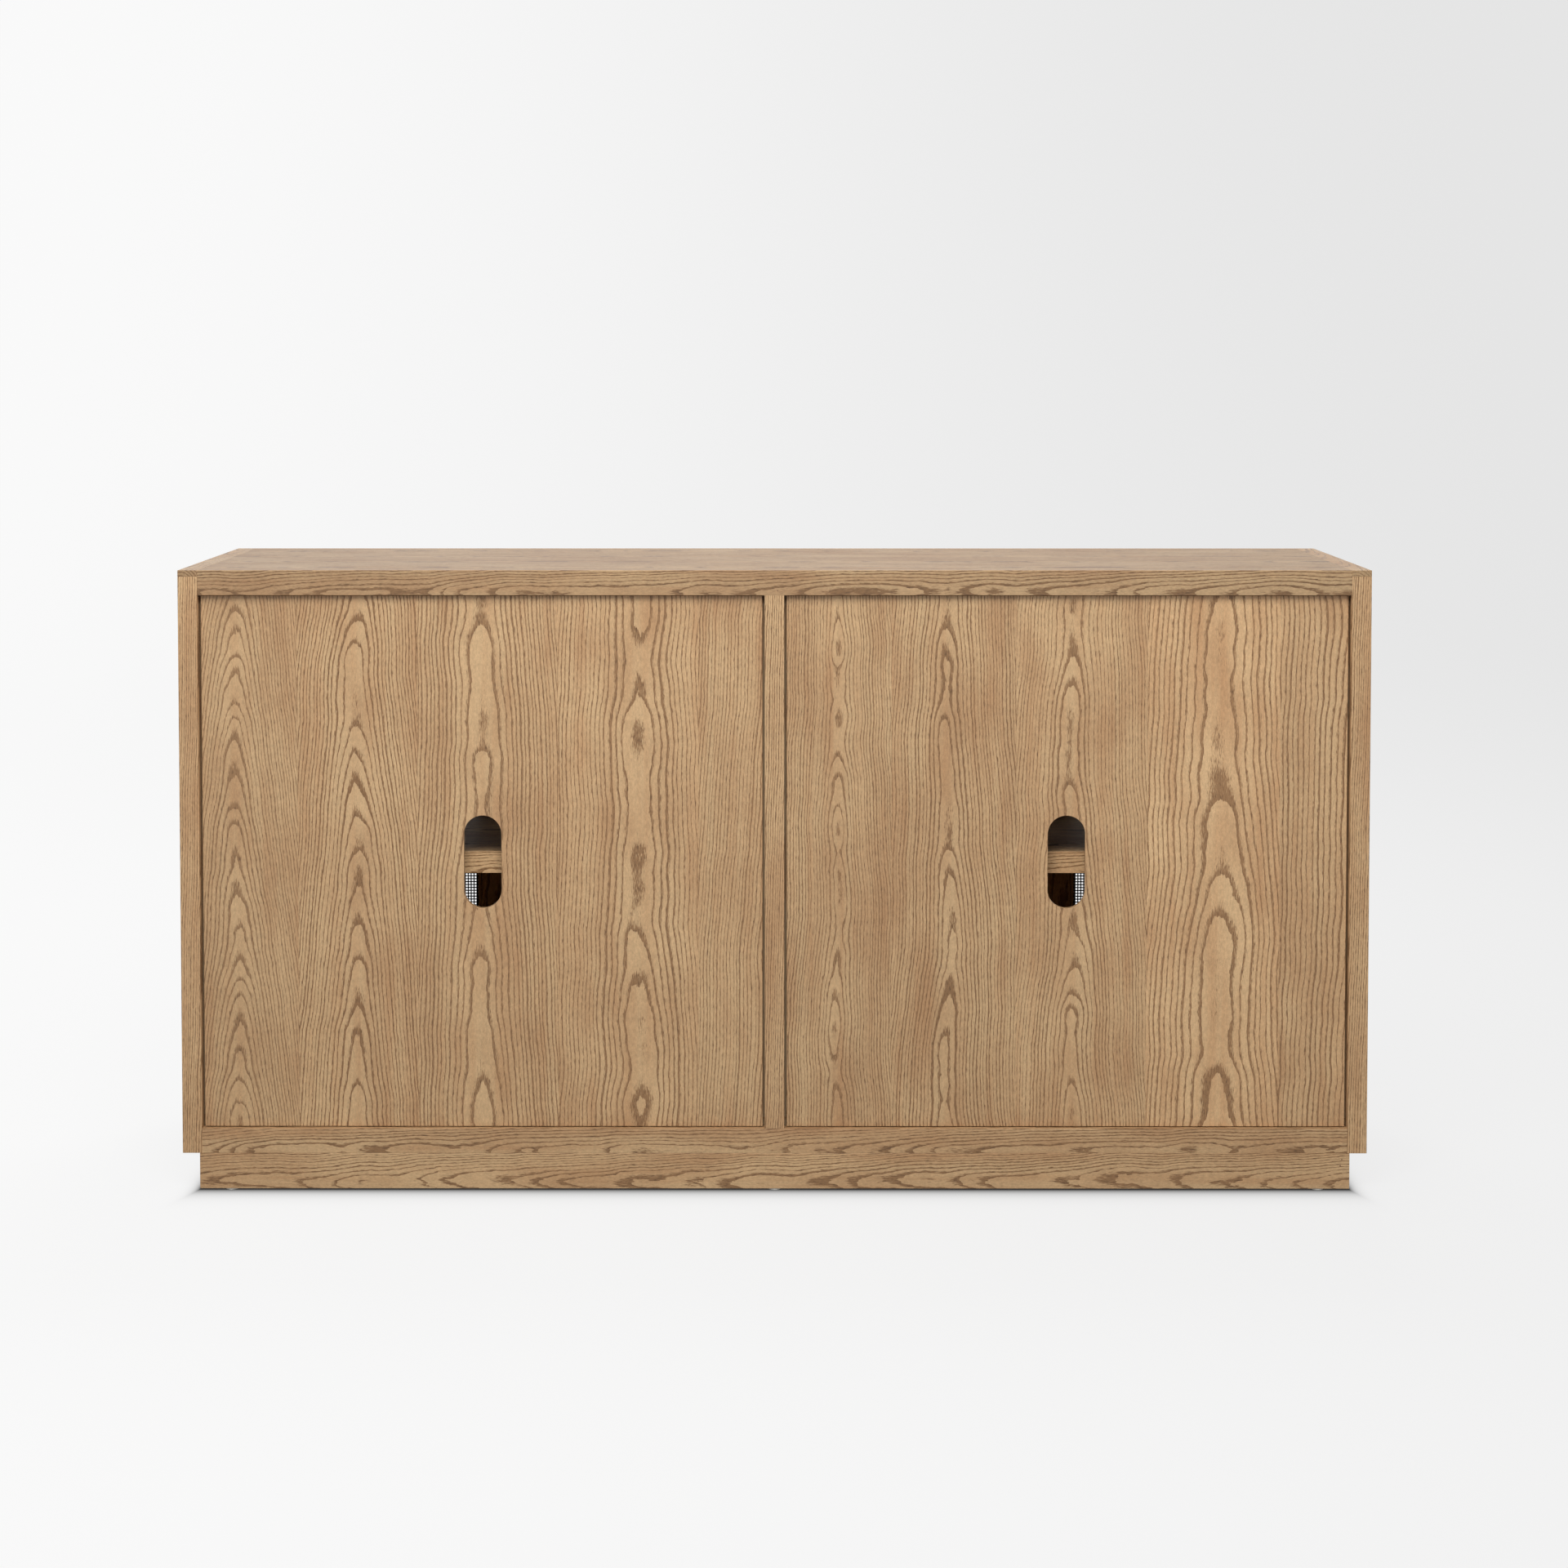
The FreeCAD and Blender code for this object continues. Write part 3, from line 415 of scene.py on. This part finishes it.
def side_panel(node, seed, hearts, edge_tone=1.06):
    """An upright panel, as deep as its own node, with its leaves' figure upright."""
    half_depth = 1000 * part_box(node)[1].y
    through = middle(node)[0]
    leaves = side_by_side(hearts, half_depth, through, tone=1, taper=0.05)
    laid = lipped(leaves, half_depth, through, edge_tone, heart=260, swing=3, inset=0)
    dress(node, ash("ash_" + node, upright_in_y, laid, seed))


side_panel("left_side_panel", 61, (36, 22, 30))
side_panel("right_side_panel", 62, (24, 40, 28))


def across_in_x(x, y, z):
    """Grain that runs along y, with the strip lying flat, so that its width goes across x."""
    return y, x, z


# Both strips are one node, so one finish holds a leaf for each. The leaves part on the cabinet's middle line.
# Their ash is painted darker (tone 0.72). This is painted shade on these upward faces, like the top's.
strip_figure = dict(swing=4, ring=4, contrast=0.8, tone=0.72)
strip_leaves = [leaf(-742, -780, edge=0, **strip_figure), leaf(758, -778, **strip_figure)]
dress("side_top_lippings", ash("ash_lippings", across_in_x, strip_leaves, 63))

# ---- Centre partition --------------------------------------------------------------------------------------
# One veneered board that stands between bottom and top and halves the case. Both hinge pairs of the inner
# doors screw to its front edge, and its rear edge shows between the backs.

side_panel("centre_partition", 71, (30, 24, 36), 1.0)

# ---- Dowels ------------------------------------------------------------------------------------------------
# Fluted beech pegs, glued blind where the boards of the case meet. Beech is pinkish and close-grained, with
# short dark flecks.

BEECH = (0.58, 0.36, 0.20, 1)
BEECH_FLECK = (0.30, 0.15, 0.07, 1)


def beech(name):
    """Beech turned to a peg: ray flecks two millimetres long on an even ground."""
    finish = Finish(name)
    x, y, z = finish.place()
    fleck = finish.step(finish.noise(x / 2, y / 0.5, z / 0.5, 1.0), 0.08, 0.2)
    cloud = finish.noise(x / 15, y / 3, z / 3)
    colour = finish.shade(finish.blend(fleck * 0.6, BEECH, BEECH_FLECK), 1 + cloud * 0.3)
    return finish.surface(colour, 0.6 + cloud * 0.1, fleck * -0.03)


dress("case_dowels", beech("beech_dowels"))

# ---- Backs -------------------------------------------------------------------------------------------------
# Two veneered panels let in flush behind the bays, each with a pill-shaped slot for cables. Five leaves of
# flat-cut ash lie side by side in each, every one with a cathedral figure of its own.

# Each row gives centre, heart, swing, ring, taper, lean, contrast and tone, and then where the leaf ends.
LEFT_LEAVES = [
    leaf(-800, 60, 8, 5.6, 0.050, 0.04, 1.0, 1.06, edge=-648),
    leaf(-569, 60, 8, 4.8, 0.036, 0.0, 1.0, 1.17, edge=-478),
    leaf(-382, 20, 9, 4.0, 0.050, 0.0, 0.95, 1.03, edge=-310),
    leaf(-223, 13, 11, 4.0, 0.045, 0.0, 1.0, 0.98, edge=-150),
    leaf(-81, 8, 16, 3.6, 0.030, 0.0, 0.9, 0.97),
]
RIGHT_LEAVES = [
    leaf(-24, 34, 8, 4.0, 0.030, -0.03, 0.9, 1.0, edge=98),
    leaf(176, 44, 8, 4.4, 0.020, 0.0, 1.0, 1.04, edge=278),
    leaf(375, 34, 8, 4.4, 0.032, 0.0, 0.95, 1.02, edge=458),
    leaf(536, 24, 7, 3.9, 0.078, 0.0, 1.1, 1.02, edge=612),
    leaf(690, 20, 10, 3.6, 0.105, 0.0, 0.85, 0.98),
]


def back_panel(node, leaves, seed):
    """The leaves as laid, with each heart counted from the panel's own middle plane."""
    through = middle(node)[1]
    laid = [one._replace(heart=one.heart - through) for one in leaves]
    dress(node, ash("ash_" + node, upright_in_x, laid, seed))


back_panel("left_back_panel", LEFT_LEAVES, 91)
back_panel("right_back_panel", RIGHT_LEAVES, 92)

# ---- Cleats ------------------------------------------------------------------------------------------------
# Sawn spruce battens round each bay, glued to the inside of the case. The backs lie against them and are
# screwed to them from behind.

CLEAT_WIDTH = 15


def turning_grain(node, width):
    """Grain that runs up z in a frame's two standing strips, and along x in the two that lie at its ends."""
    low, high = (1000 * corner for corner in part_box(node))

    def grain(x, y, z):
        lies = (z < low.z + width) + (z > high.z - width)
        return z + (x - z) * lies, x + (z - x) * lies, y

    return grain


for number, cleats in enumerate(("left_back_cleats", "right_back_cleats")):
    dress(cleats, spruce("spruce_" + cleats, turning_grain(cleats, CLEAT_WIDTH), 95 + number, tone=0.72))

# ---- Edge brads --------------------------------------------------------------------------------------------
# Fine headless steel pins that hold the lippings while the glue dries. They are punched just under the
# surface and stopped with wax filler, a shade darker than the wood.

BRAD_STEEL = (0.50, 0.49, 0.47, 1)
BRAD_SHADE = (0.25, 0.23, 0.21, 1)
dress("edge_brads", plated("steel_brads", BRAD_STEEL, BRAD_SHADE, 0.45, 97))

BRAD_RADIUS = 0.0009
# The x and z of each brad in the rear face, in metres.
BRAD_PLACES = ((-0.004, 0.774), (-0.032, 0.774), (-0.730, 0.040), (-0.728, 0.032), (0.731, 0.008))
WAX = (0.215, 0.115, 0.060, 1)


def turned(name, radii, heights, centres, base, direction, corners):
    """Turned pieces on axes along y, as one mesh.

    For step s of the profile and angle a, the point is x + radius(s) * cos(a), base + direction * height(s),
    z + radius(s) * sin(a). The profile starts and ends on the axis, where one point closes the pole.
    """
    radii = np.asarray(radii)[1:-1]
    heights = np.asarray(heights)
    angle = np.linspace(0, 2 * np.pi, corners, endpoint=False)
    index = np.arange(len(radii) * corners).reshape(len(radii), corners)
    beside = np.roll(index, -1, axis=1)
    first = np.full(corners, index.size)
    quads = np.stack([index[:-1], index[1:], beside[1:], beside[:-1]], axis=-1).reshape(-1, 4)
    first_fan = np.stack([first, index[0], beside[0]], axis=-1)
    last_fan = np.stack([first + 1, beside[-1], index[-1]], axis=-1)
    points, faces = [], []
    for number, (x, z) in enumerate(centres):
        ring_x = x + radii[:, None] * np.cos(angle)
        ring_y = np.broadcast_to(base + direction * heights[1:-1, None], ring_x.shape)
        ring_z = z + radii[:, None] * np.sin(angle)
        poles = np.array([[x, base + direction * end, z] for end in (heights[0], heights[-1])])
        points += [np.stack([ring_x, ring_y, ring_z], axis=-1).reshape(-1, 3), poles]
        start = number * (index.size + 2)
        for group in (quads, first_fan, last_fan):
            faces += (group + start).tolist()
    mesh = bpy.data.meshes.new(name)
    mesh.from_pydata(np.concatenate(points).tolist(), [], faces)
    if direction < 0:
        mesh.flip_normals()
    mesh.shade_smooth()
    return mesh


def add_piece(mesh, material, body):
    """Puts a new piece in the scene, on its body, with its finish."""
    piece = bpy.data.objects.new(mesh.name, mesh)
    bpy.context.scene.collection.objects.link(piece)
    mesh.materials.append(material)
    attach(piece, body)
    return piece


def wax(name):
    """Filler wax: nearly even, with a faint smear."""
    finish = Finish(name)
    x, y, z = finish.place()
    smear = finish.noise(x / 0.8, y / 0.8, z / 0.4, 2.0)
    return finish.surface(finish.shade(WAX, 1 + smear * 0.6), 0.5 + smear * 0.2, smear * 0.02)


# Each stopping fills its hole to just under the rear face and is dished. Its profile goes up the side from
# the bottom, and over the top to its middle, as shares of the brad's radius and in metres from the face.
stopping_radii = BRAD_RADIUS * np.array([0, 0.98, 0.98, 0.8, 0.4, 0])
stopping_heights = 0.001 * np.array([-0.38, -0.38, -0.06, -0.09, -0.12, -0.13])
rear_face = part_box("plinth_rear_rail")[1].y
stoppings = turned("brad_stoppings", stopping_radii, stopping_heights, BRAD_PLACES, rear_face, 1, 12)
add_piece(stoppings, wax("wax_stoppings"), "cabinet")

# ---- Shelves and their pins --------------------------------------------------------------------------------
# One veneered shelf in each bay, lipped on its long edges, loose on four nickel-plated pins that push into
# rows of holes in the case.

# The shelves' faces are painted darker (tone 0.85). This is painted shade inside the closed bays.
long_panel("left_shelf", 101, (36, 24, 30), tone=0.85, edge_tone=1.1, gloss=0.5, sheen=0.1)
long_panel("right_shelf", 102, (26, 34, 22), tone=0.85, edge_tone=1.1, gloss=0.5, sheen=0.1)

NICKEL = (0.66, 0.63, 0.58, 1)
NICKEL_SHADE = (0.52, 0.49, 0.45, 1)
dress("shelf_pins", plated("nickel_pins", NICKEL, NICKEL_SHADE, 0.2, 103))

# ---- Door frames -------------------------------------------------------------------------------------------
# Solid ash stiles and rails, tenoned and glued. Stiles run the whole height with the grain upright, and the
# rails fit between them with the grain level.

DOORS = ("door_outer_left", "door_inner_left", "door_inner_right", "door_outer_right")
# How deep the rails' heart lies, and how far the heart line is above the lower rail and below the upper one.
RAIL_HEART = 22
LOWER_RAIL_LINE = 20
UPPER_RAIL_LINE = 28

for number, door in enumerate(DOORS):
    board(door + "_hinge_stile", upright_in_x, 110 + number, offset=14, heart=20, ring=5, taper=0.03)
    board(door + "_meeting_stile", upright_in_x, 120 + number, offset=-12, heart=26, ring=5, taper=0.025)
    rails = door + "_rails"
    low, high = (1000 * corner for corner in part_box(rails))
    rail_figure = dict(heart=RAIL_HEART - middle(rails).y, swing=6, ring=5, taper=0.03)
    lower = leaf(low.z + LOWER_RAIL_LINE, edge=middle(rails).z, **rail_figure)
    upper = leaf(high.z - UPPER_RAIL_LINE, **rail_figure)
    dress(rails, ash("ash_" + rails, lying_in_z, [lower, upper], 130 + number))

# ---- Mesh beads --------------------------------------------------------------------------------------------
# Slim ash strips pinned into the door's rebate behind the wire cloth, which they hold. Two stand and two lie,
# so the grain turns with them.

BEAD_WIDTH = 8

for number, door in enumerate(DOORS):
    beads = door + "_mesh_beads"
    straight = leaf(middle(beads).x, heart=300, swing=4, ring=5, taper=0.02, contrast=0.7)
    dress(beads, ash("ash_" + beads, turning_grain(beads, BEAD_WIDTH), [straight], 140 + number))

# ---- Wire mesh ---------------------------------------------------------------------------------------------
# Black-oxidised steel wire, woven plain, about six wires to the inch. A cut sheet of it lies in each door's
# rebate under the beads. It is pressed, so the wires bed into each other where they cross.

# In metres. The crimp is how far each wire's centre line bends from the cloth's middle plane.
WIRE_RADIUS = 0.00085
WIRE_CRIMP = 0.00035
WIRE_PITCH = 0.00415


def woven_wires(start, end, cross, spacing_start, count, flip):
    """Points and faces of one set of wires, as (position across, position along, offset) columns.

    Wire i crosses the other set at cross[j], where its centre line is the crimp's depth to one side of the
    cloth's middle: offset = flip * crimp * (-1)^(i + j). Its section is a square on its corner.
    """
    across = spacing_start + WIRE_PITCH * np.arange(count)
    along = np.concatenate([[start], cross, [end]])
    turn = np.concatenate([[0.0], (-1.0) ** np.arange(len(cross)), [0.0]])
    offset = flip * WIRE_CRIMP * turn[None, :] * ((-1.0) ** np.arange(count))[:, None]
    angle = np.arange(4) * np.pi / 2
    shape = (count, len(along), 4)
    points = np.stack([
        np.broadcast_to(across[:, None, None] + WIRE_RADIUS * np.cos(angle), shape),
        np.broadcast_to(along[None, :, None], shape),
        offset[:, :, None] + WIRE_RADIUS * np.sin(angle),
    ], axis=-1).reshape(-1, 3)
    index = np.arange(count * len(along) * 4).reshape(shape)
    beside = np.roll(index, -1, axis=2)
    quads = np.stack([index[:, :-1], beside[:, :-1], beside[:, 1:], index[:, 1:]], axis=-1).reshape(-1, 4)
    ends = np.concatenate([index[:, 0, ::-1], index[:, -1]])
    return points, np.concatenate([quads, ends])


def woven_cloth(name, low, high):
    """A sheet of plain-woven wire that fills the box from low to high, cut at its sides.

    The point of a standing wire at (position across, position along, offset) is x, z and y from the middle
    plane, and of a lying wire z, x and y.
    """
    width, height = high.x - low.x, high.z - low.z
    uprights, levels = int(width / WIRE_PITCH), int(height / WIRE_PITCH)
    first_x = low.x + (width - WIRE_PITCH * (uprights - 1)) / 2
    first_z = low.z + (height - WIRE_PITCH * (levels - 1)) / 2
    upright_places = first_x + WIRE_PITCH * np.arange(uprights)
    level_places = first_z + WIRE_PITCH * np.arange(levels)
    middle_plane = (low.y + high.y) / 2
    standing, standing_faces = woven_wires(low.z, high.z, level_places, first_x, uprights, 1)
    lying, lying_faces = woven_wires(low.x, high.x, upright_places, first_z, levels, -1)
    standing = np.stack([standing[:, 0], middle_plane + standing[:, 2], standing[:, 1]], axis=-1)
    lying = np.stack([lying[:, 1], middle_plane + lying[:, 2], lying[:, 0]], axis=-1)
    points = np.concatenate([standing, lying])
    faces = np.concatenate([standing_faces, lying_faces[:, ::-1] + len(standing)])
    mesh = bpy.data.meshes.new(name)
    mesh.vertices.add(len(points))
    mesh.vertices.foreach_set("co", points.astype(np.float32).ravel())
    mesh.loops.add(faces.size)
    mesh.loops.foreach_set("vertex_index", faces.astype(np.int32).ravel())
    mesh.polygons.add(len(faces))
    mesh.polygons.foreach_set("loop_start", np.arange(0, faces.size, 4, dtype=np.int32))
    mesh.update(calc_edges=True)
    mesh.validate()
    mesh.shade_smooth()
    return mesh


OXIDE = (0.012, 0.012, 0.013, 1)
WORN_OXIDE = (0.050, 0.047, 0.044, 1)


def oxidised(name):
    """Oxidised wire: black, and a little brighter where weaving has rubbed it."""
    finish = Finish(name)
    x, y, z = finish.place()
    rub = finish.step(finish.noise(x / 2.5, y / 1.0, z / 2.5, 3.0, 0.6), 0.0, 0.3)
    scale = finish.noise(x / 0.5, y / 0.5, z / 0.5, 1.0)
    colour = finish.blend(rub, OXIDE, WORN_OXIDE)
    return finish.surface(colour, 0.48 + scale * 0.2 - rub * 0.1, scale * 0.01, Metallic=0.6)


for door in DOORS:
    plate = door + "_wire_mesh"
    cloth = woven_cloth(door + "_woven_mesh", *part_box(plate))
    piece = add_piece(cloth, oxidised("oxide_" + door), door)
    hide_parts(plate)

# ---- Knobs -------------------------------------------------------------------------------------------------
# Turned steel, powder-coated black: a small foot, a waisted neck and a flat head with a rounded rim. A bolt
# through the meeting stile draws each one up to the door's face.

# In metres.
KNOB_FOOT_RADIUS = 0.0065
KNOB_FOOT_HEIGHT = 0.0012
KNOB_FOOT_EASE = 0.0006
KNOB_NECK_RADIUS = 0.0045
KNOB_RIM = 0.0022
KNOB_CROWN = 0.0006

COAT = (0.018, 0.018, 0.019, 1)
COAT_WORN = (0.060, 0.058, 0.055, 1)


def knob_profile(radius, length):
    """Radii and heights from the foot's middle to the head's.

    The foot's edge is eased by a quarter circle. The neck swells into the head by (1 - cos(pi * t^2.2)) / 2.
    The rim is a half circle, and the face is crowned by a parabola.
    """
    quarter = np.linspace(0, np.pi / 2, 5)
    foot_r = KNOB_FOOT_RADIUS - KNOB_FOOT_EASE + KNOB_FOOT_EASE * np.cos(quarter)
    foot_h = KNOB_FOOT_HEIGHT - KNOB_FOOT_EASE + KNOB_FOOT_EASE * np.sin(quarter)
    rise = np.linspace(0, 1, 14)
    swell = 0.5 - 0.5 * np.cos(np.pi * rise ** 2.2)
    neck_r = KNOB_NECK_RADIUS + (radius - KNOB_RIM - KNOB_NECK_RADIUS) * swell
    neck_h = KNOB_FOOT_HEIGHT + (length - 2 * KNOB_RIM - KNOB_CROWN - KNOB_FOOT_HEIGHT) * rise
    turn = np.linspace(-np.pi / 2, np.pi / 2, 13)
    rim_r = radius - KNOB_RIM + KNOB_RIM * np.cos(turn)
    rim_h = length - KNOB_CROWN - KNOB_RIM + KNOB_RIM * np.sin(turn)
    crown = np.linspace(0.9, 0, 8)
    crown_r = (radius - KNOB_RIM) * crown
    crown_h = length - KNOB_CROWN * crown ** 2
    radii = np.concatenate([[0, KNOB_FOOT_RADIUS], foot_r, neck_r, rim_r, crown_r])
    heights = np.concatenate([[0, 0], foot_h, neck_h, rim_h, crown_h])
    return radii, heights


def powder_coat(name, seed):
    """Powder coat: black with a fine orange peel, rubbed a little grey in spots by hands."""
    finish = Finish(name)
    x, y, z = finish.place()
    peel = finish.noise(x / 0.7, y / 0.7, z / 0.7 + seed, 2.0)
    rub = finish.step(finish.noise(x / 7, y / 7, z / 7 + seed, 4.0, 0.6), 0.08, 0.34)
    colour = finish.blend(rub * 0.5, COAT, COAT_WORN)
    return finish.surface(colour, 0.42 + peel * 0.14 - rub * 0.08, peel * 0.03)


for number, door in enumerate(DOORS):
    turning = door + "_knob"
    low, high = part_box(turning)
    radii, heights = knob_profile((high.x - low.x) / 2, high.y - low.y)
    centre = ((low.x + high.x) / 2, (low.z + high.z) / 2)
    knob = turned(door + "_turned_knob", radii, heights, [centre], high.y, -1, 64)
    piece = add_piece(knob, powder_coat("coat_" + door, number), door)
    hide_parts(turning)

# ---- Hinges ------------------------------------------------------------------------------------------------
# Pressed steel butt hinges, let in to the case and the stiles: leaves, knuckles, riveted pins and the screws
# that hold them. Brushed along their length and waxed against rust.

STEEL = (0.47, 0.46, 0.44, 1)
STEEL_SHADE = (0.33, 0.32, 0.31, 1)


def brushed(name, seed):
    """Brushed steel: scratches that run up the hinge, on slow clouds."""
    finish = Finish(name)
    x, y, z = finish.place()
    scratch = finish.noise(x / 0.12, y / 0.12, z / 9 + seed, 2.0, 0.7)
    cloud = finish.noise(x / 12, y / 12, z / 12 + seed, 3.0)
    colour = finish.blend(finish.step(cloud + scratch * 0.5, -0.3, 0.3), STEEL, STEEL_SHADE)
    return finish.surface(colour, 0.36 + scratch * 0.2 + cloud * 0.1, scratch * 0.006, Metallic=1.0)


hinge_nodes = ["case_hinge_leaves", "hinge_pins"] + [door + "_hinge_leaves" for door in DOORS]
for number, node in enumerate(hinge_nodes):
    dress(node, brushed("brushed_" + node, number))
for node in ["case_hinge_screws"] + [door + "_fixings" for door in DOORS]:
    dress(node, plated("steel_" + node, STEEL, STEEL_SHADE, 0.3, 151))

# ---- Catches -----------------------------------------------------------------------------------------------
# Double magnetic catches screwed under the top where each pair of doors meets. The housing is moulded in
# brown plastic and holds two ceramic magnets behind steel plates.

BROWN = (0.060, 0.040, 0.028, 1)
BROWN_SCUFF = (0.12, 0.09, 0.07, 1)
dress("magnetic_catches", moulded("plastic_catches", BROWN, BROWN_SCUFF, 0.38, 161))

# ---- Studio ------------------------------------------------------------------------------------------------
# A pale floor that sweeps up all round into a wall with no corner, open above. Its glow holds painted light,
# brighter towards +x, and a painted contact shadow round the cabinet's foot. It is stage only: the cabinet
# stands in its middle.

# In metres.
FLOOR_RADIUS = 7.0
SWEEP_RADIUS = 4.0
WALL_TOP = 13.0

# The cabinet's foot on the floor, round which the contact shadow is painted, in millimetres: half its width,
# and the middle and half of its depth.
FOOT_HALF_WIDTH = 741
FOOT_MIDDLE = 10
FOOT_HALF_DEPTH = 205
SHADE_REACH = 17
# The glow is painted light that falls off towards -x. It grows over this distance on both sides of the
# cabinet's middle.
GLOW_SPREAD = 3500


def studio_bowl(name):
    """The bowl z(r): flat to the floor's radius, then a quarter circle, then a wall. It is turned about z."""
    turn = np.linspace(0, np.pi / 2, 17)
    radius = FLOOR_RADIUS + SWEEP_RADIUS
    radii = np.concatenate([[0.5, 2, 4], FLOOR_RADIUS + SWEEP_RADIUS * np.sin(turn), [radius]])
    levels = np.concatenate([[0, 0, 0], SWEEP_RADIUS * (1 - np.cos(turn)), [WALL_TOP]])
    angle = np.linspace(0, 2 * np.pi, 96, endpoint=False)
    x = radii[:, None] * np.cos(angle)
    y = radii[:, None] * np.sin(angle)
    z = np.broadcast_to(levels[:, None], x.shape)
    index = np.arange(x.size).reshape(x.shape)
    beside = np.roll(index, -1, axis=1)
    quads = np.stack([index[:-1], index[1:], beside[1:], beside[:-1]], axis=-1).reshape(-1, 4)
    points = np.stack([x, y, z], axis=-1).reshape(-1, 3)
    mesh = bpy.data.meshes.new(name)
    mesh.from_pydata(points.tolist(), [], quads.tolist() + [index[0].tolist()])
    mesh.shade_smooth()
    return mesh


def painted(name):
    """Matt paint that glows, so that shadows on it stay soft, with painted light that grows towards +x.

    Round the cabinet's foot a painted contact shadow darkens the glow: at d millimetres out from the foot the
    glow is 1 - 0.96 * exp(-d / reach), and d counts three times beside the ends.
    """
    finish = Finish(name)
    x, y, z = finish.place()
    # Painted light: the glow and the paint grow brighter towards +x.
    side = finish.step(x, -GLOW_SPREAD, GLOW_SPREAD)
    tooth = finish.noise(x / 40, y / 40, z / 40, 2.0)
    # Painted contact shadow: the glow darkens as the point nears the cabinet's foot.
    beside = (finish.sum("ABSOLUTE", x) - FOOT_HALF_WIDTH) * 3
    behind = finish.sum("ABSOLUTE", y - FOOT_MIDDLE) - FOOT_HALF_DEPTH
    apart = finish.sum("MAXIMUM", finish.sum("MAXIMUM", beside, behind), 0)
    shade = finish.sum("EXPONENT", apart / -SHADE_REACH)
    colour = finish.blend(side, (0.06, 0.06, 0.06, 1), (0.07, 0.07, 0.07, 1))
    glow = finish.blend(side, (0.80, 0.80, 0.80, 1), (0.97, 0.97, 0.97, 1))
    glow = finish.shade(glow, 1 - shade * 0.96)
    relief = finish.node("Bump", {}, {"Distance": 0.001, "Height": tooth})
    sockets = {"Base Color": colour, "Roughness": 0.9, "Normal": relief, "Emission Color": glow,
               "Emission Strength": 0.95, "Specular IOR Level": 0.0}
    shader = finish.node("BsdfPrincipled", {}, sockets)
    finish.node("OutputMaterial", {}, {"Surface": shader})
    return finish.material


bowl = bpy.data.objects.new("studio_floor", studio_bowl("studio_floor"))
bowl.data.materials.append(painted("studio_paint"))
bpy.context.scene.collection.objects.link(bowl)
# Its glow is seen and reflected, but leaves the light on the wood to the sky and the panels.
bowl.visible_diffuse = False

# ---- Light -------------------------------------------------------------------------------------------------
# An even white sky through the bowl's top, and one wide soft panel in front of each long face of the cabinet,
# hung high, so that the wood darkens a little towards the floor.

world = bpy.data.worlds.new("studio_sky")
world.use_nodes = True
sky = world.node_tree.nodes["Background"].inputs
sky["Color"].default_value = (1.0, 0.99, 0.98, 1)
sky["Strength"].default_value = 0.38
bpy.context.scene.world = world


def light_panel(name, place, aim, size, power):
    """A soft square light that hangs at place and faces the point aim."""
    lamp = bpy.data.lights.new(name, "AREA")
    lamp.shape = "SQUARE"
    lamp.size = size
    lamp.energy = power
    holder = bpy.data.objects.new(name, lamp)
    bpy.context.scene.collection.objects.link(holder)
    holder.location = place
    direction = np.subtract(aim, place)
    level = math.hypot(direction[0], direction[1])
    holder.rotation_euler = (math.atan2(level, -direction[2]), 0, math.atan2(-direction[0], direction[1]))
    holder.visible_camera = False
    return holder


light_panel("rear_panel", place=(0.2, 1.9, 2.4), aim=(0, 0.2, 0.7), size=1.5, power=52)
front = light_panel("front_panel", place=(-0.2, -1.9, 3.3), aim=(0, -0.2, 0.4), size=1.6, power=75)
# Its mirror image would lie across the top as a bright bar.
front.visible_glossy = False

# ---- Camera ------------------------------------------------------------------------------------------------
# It looks at the rear of the cabinet from a little above the top, square on, through a long normal lens. The
# lens is shifted down and the camera tilted little, so that uprights stay nearly parallel.

CAMERA_TILT = 2.742
CAMERA_TURN = 0.0925

camera_data = bpy.data.cameras.new("camera")
camera_data.sensor_width = 36
camera_data.lens = 69.86
camera_data.shift_y = -0.1837
camera = bpy.data.objects.new("camera", camera_data)
bpy.context.scene.collection.objects.link(camera)
camera.location = (-0.0184, 4.0880, 1.0805)
camera.rotation_euler = (math.radians(90 - CAMERA_TILT), 0, math.radians(180 + CAMERA_TURN))
bpy.context.scene.camera = camera
bpy.context.scene.view_settings.view_transform = "Standard"
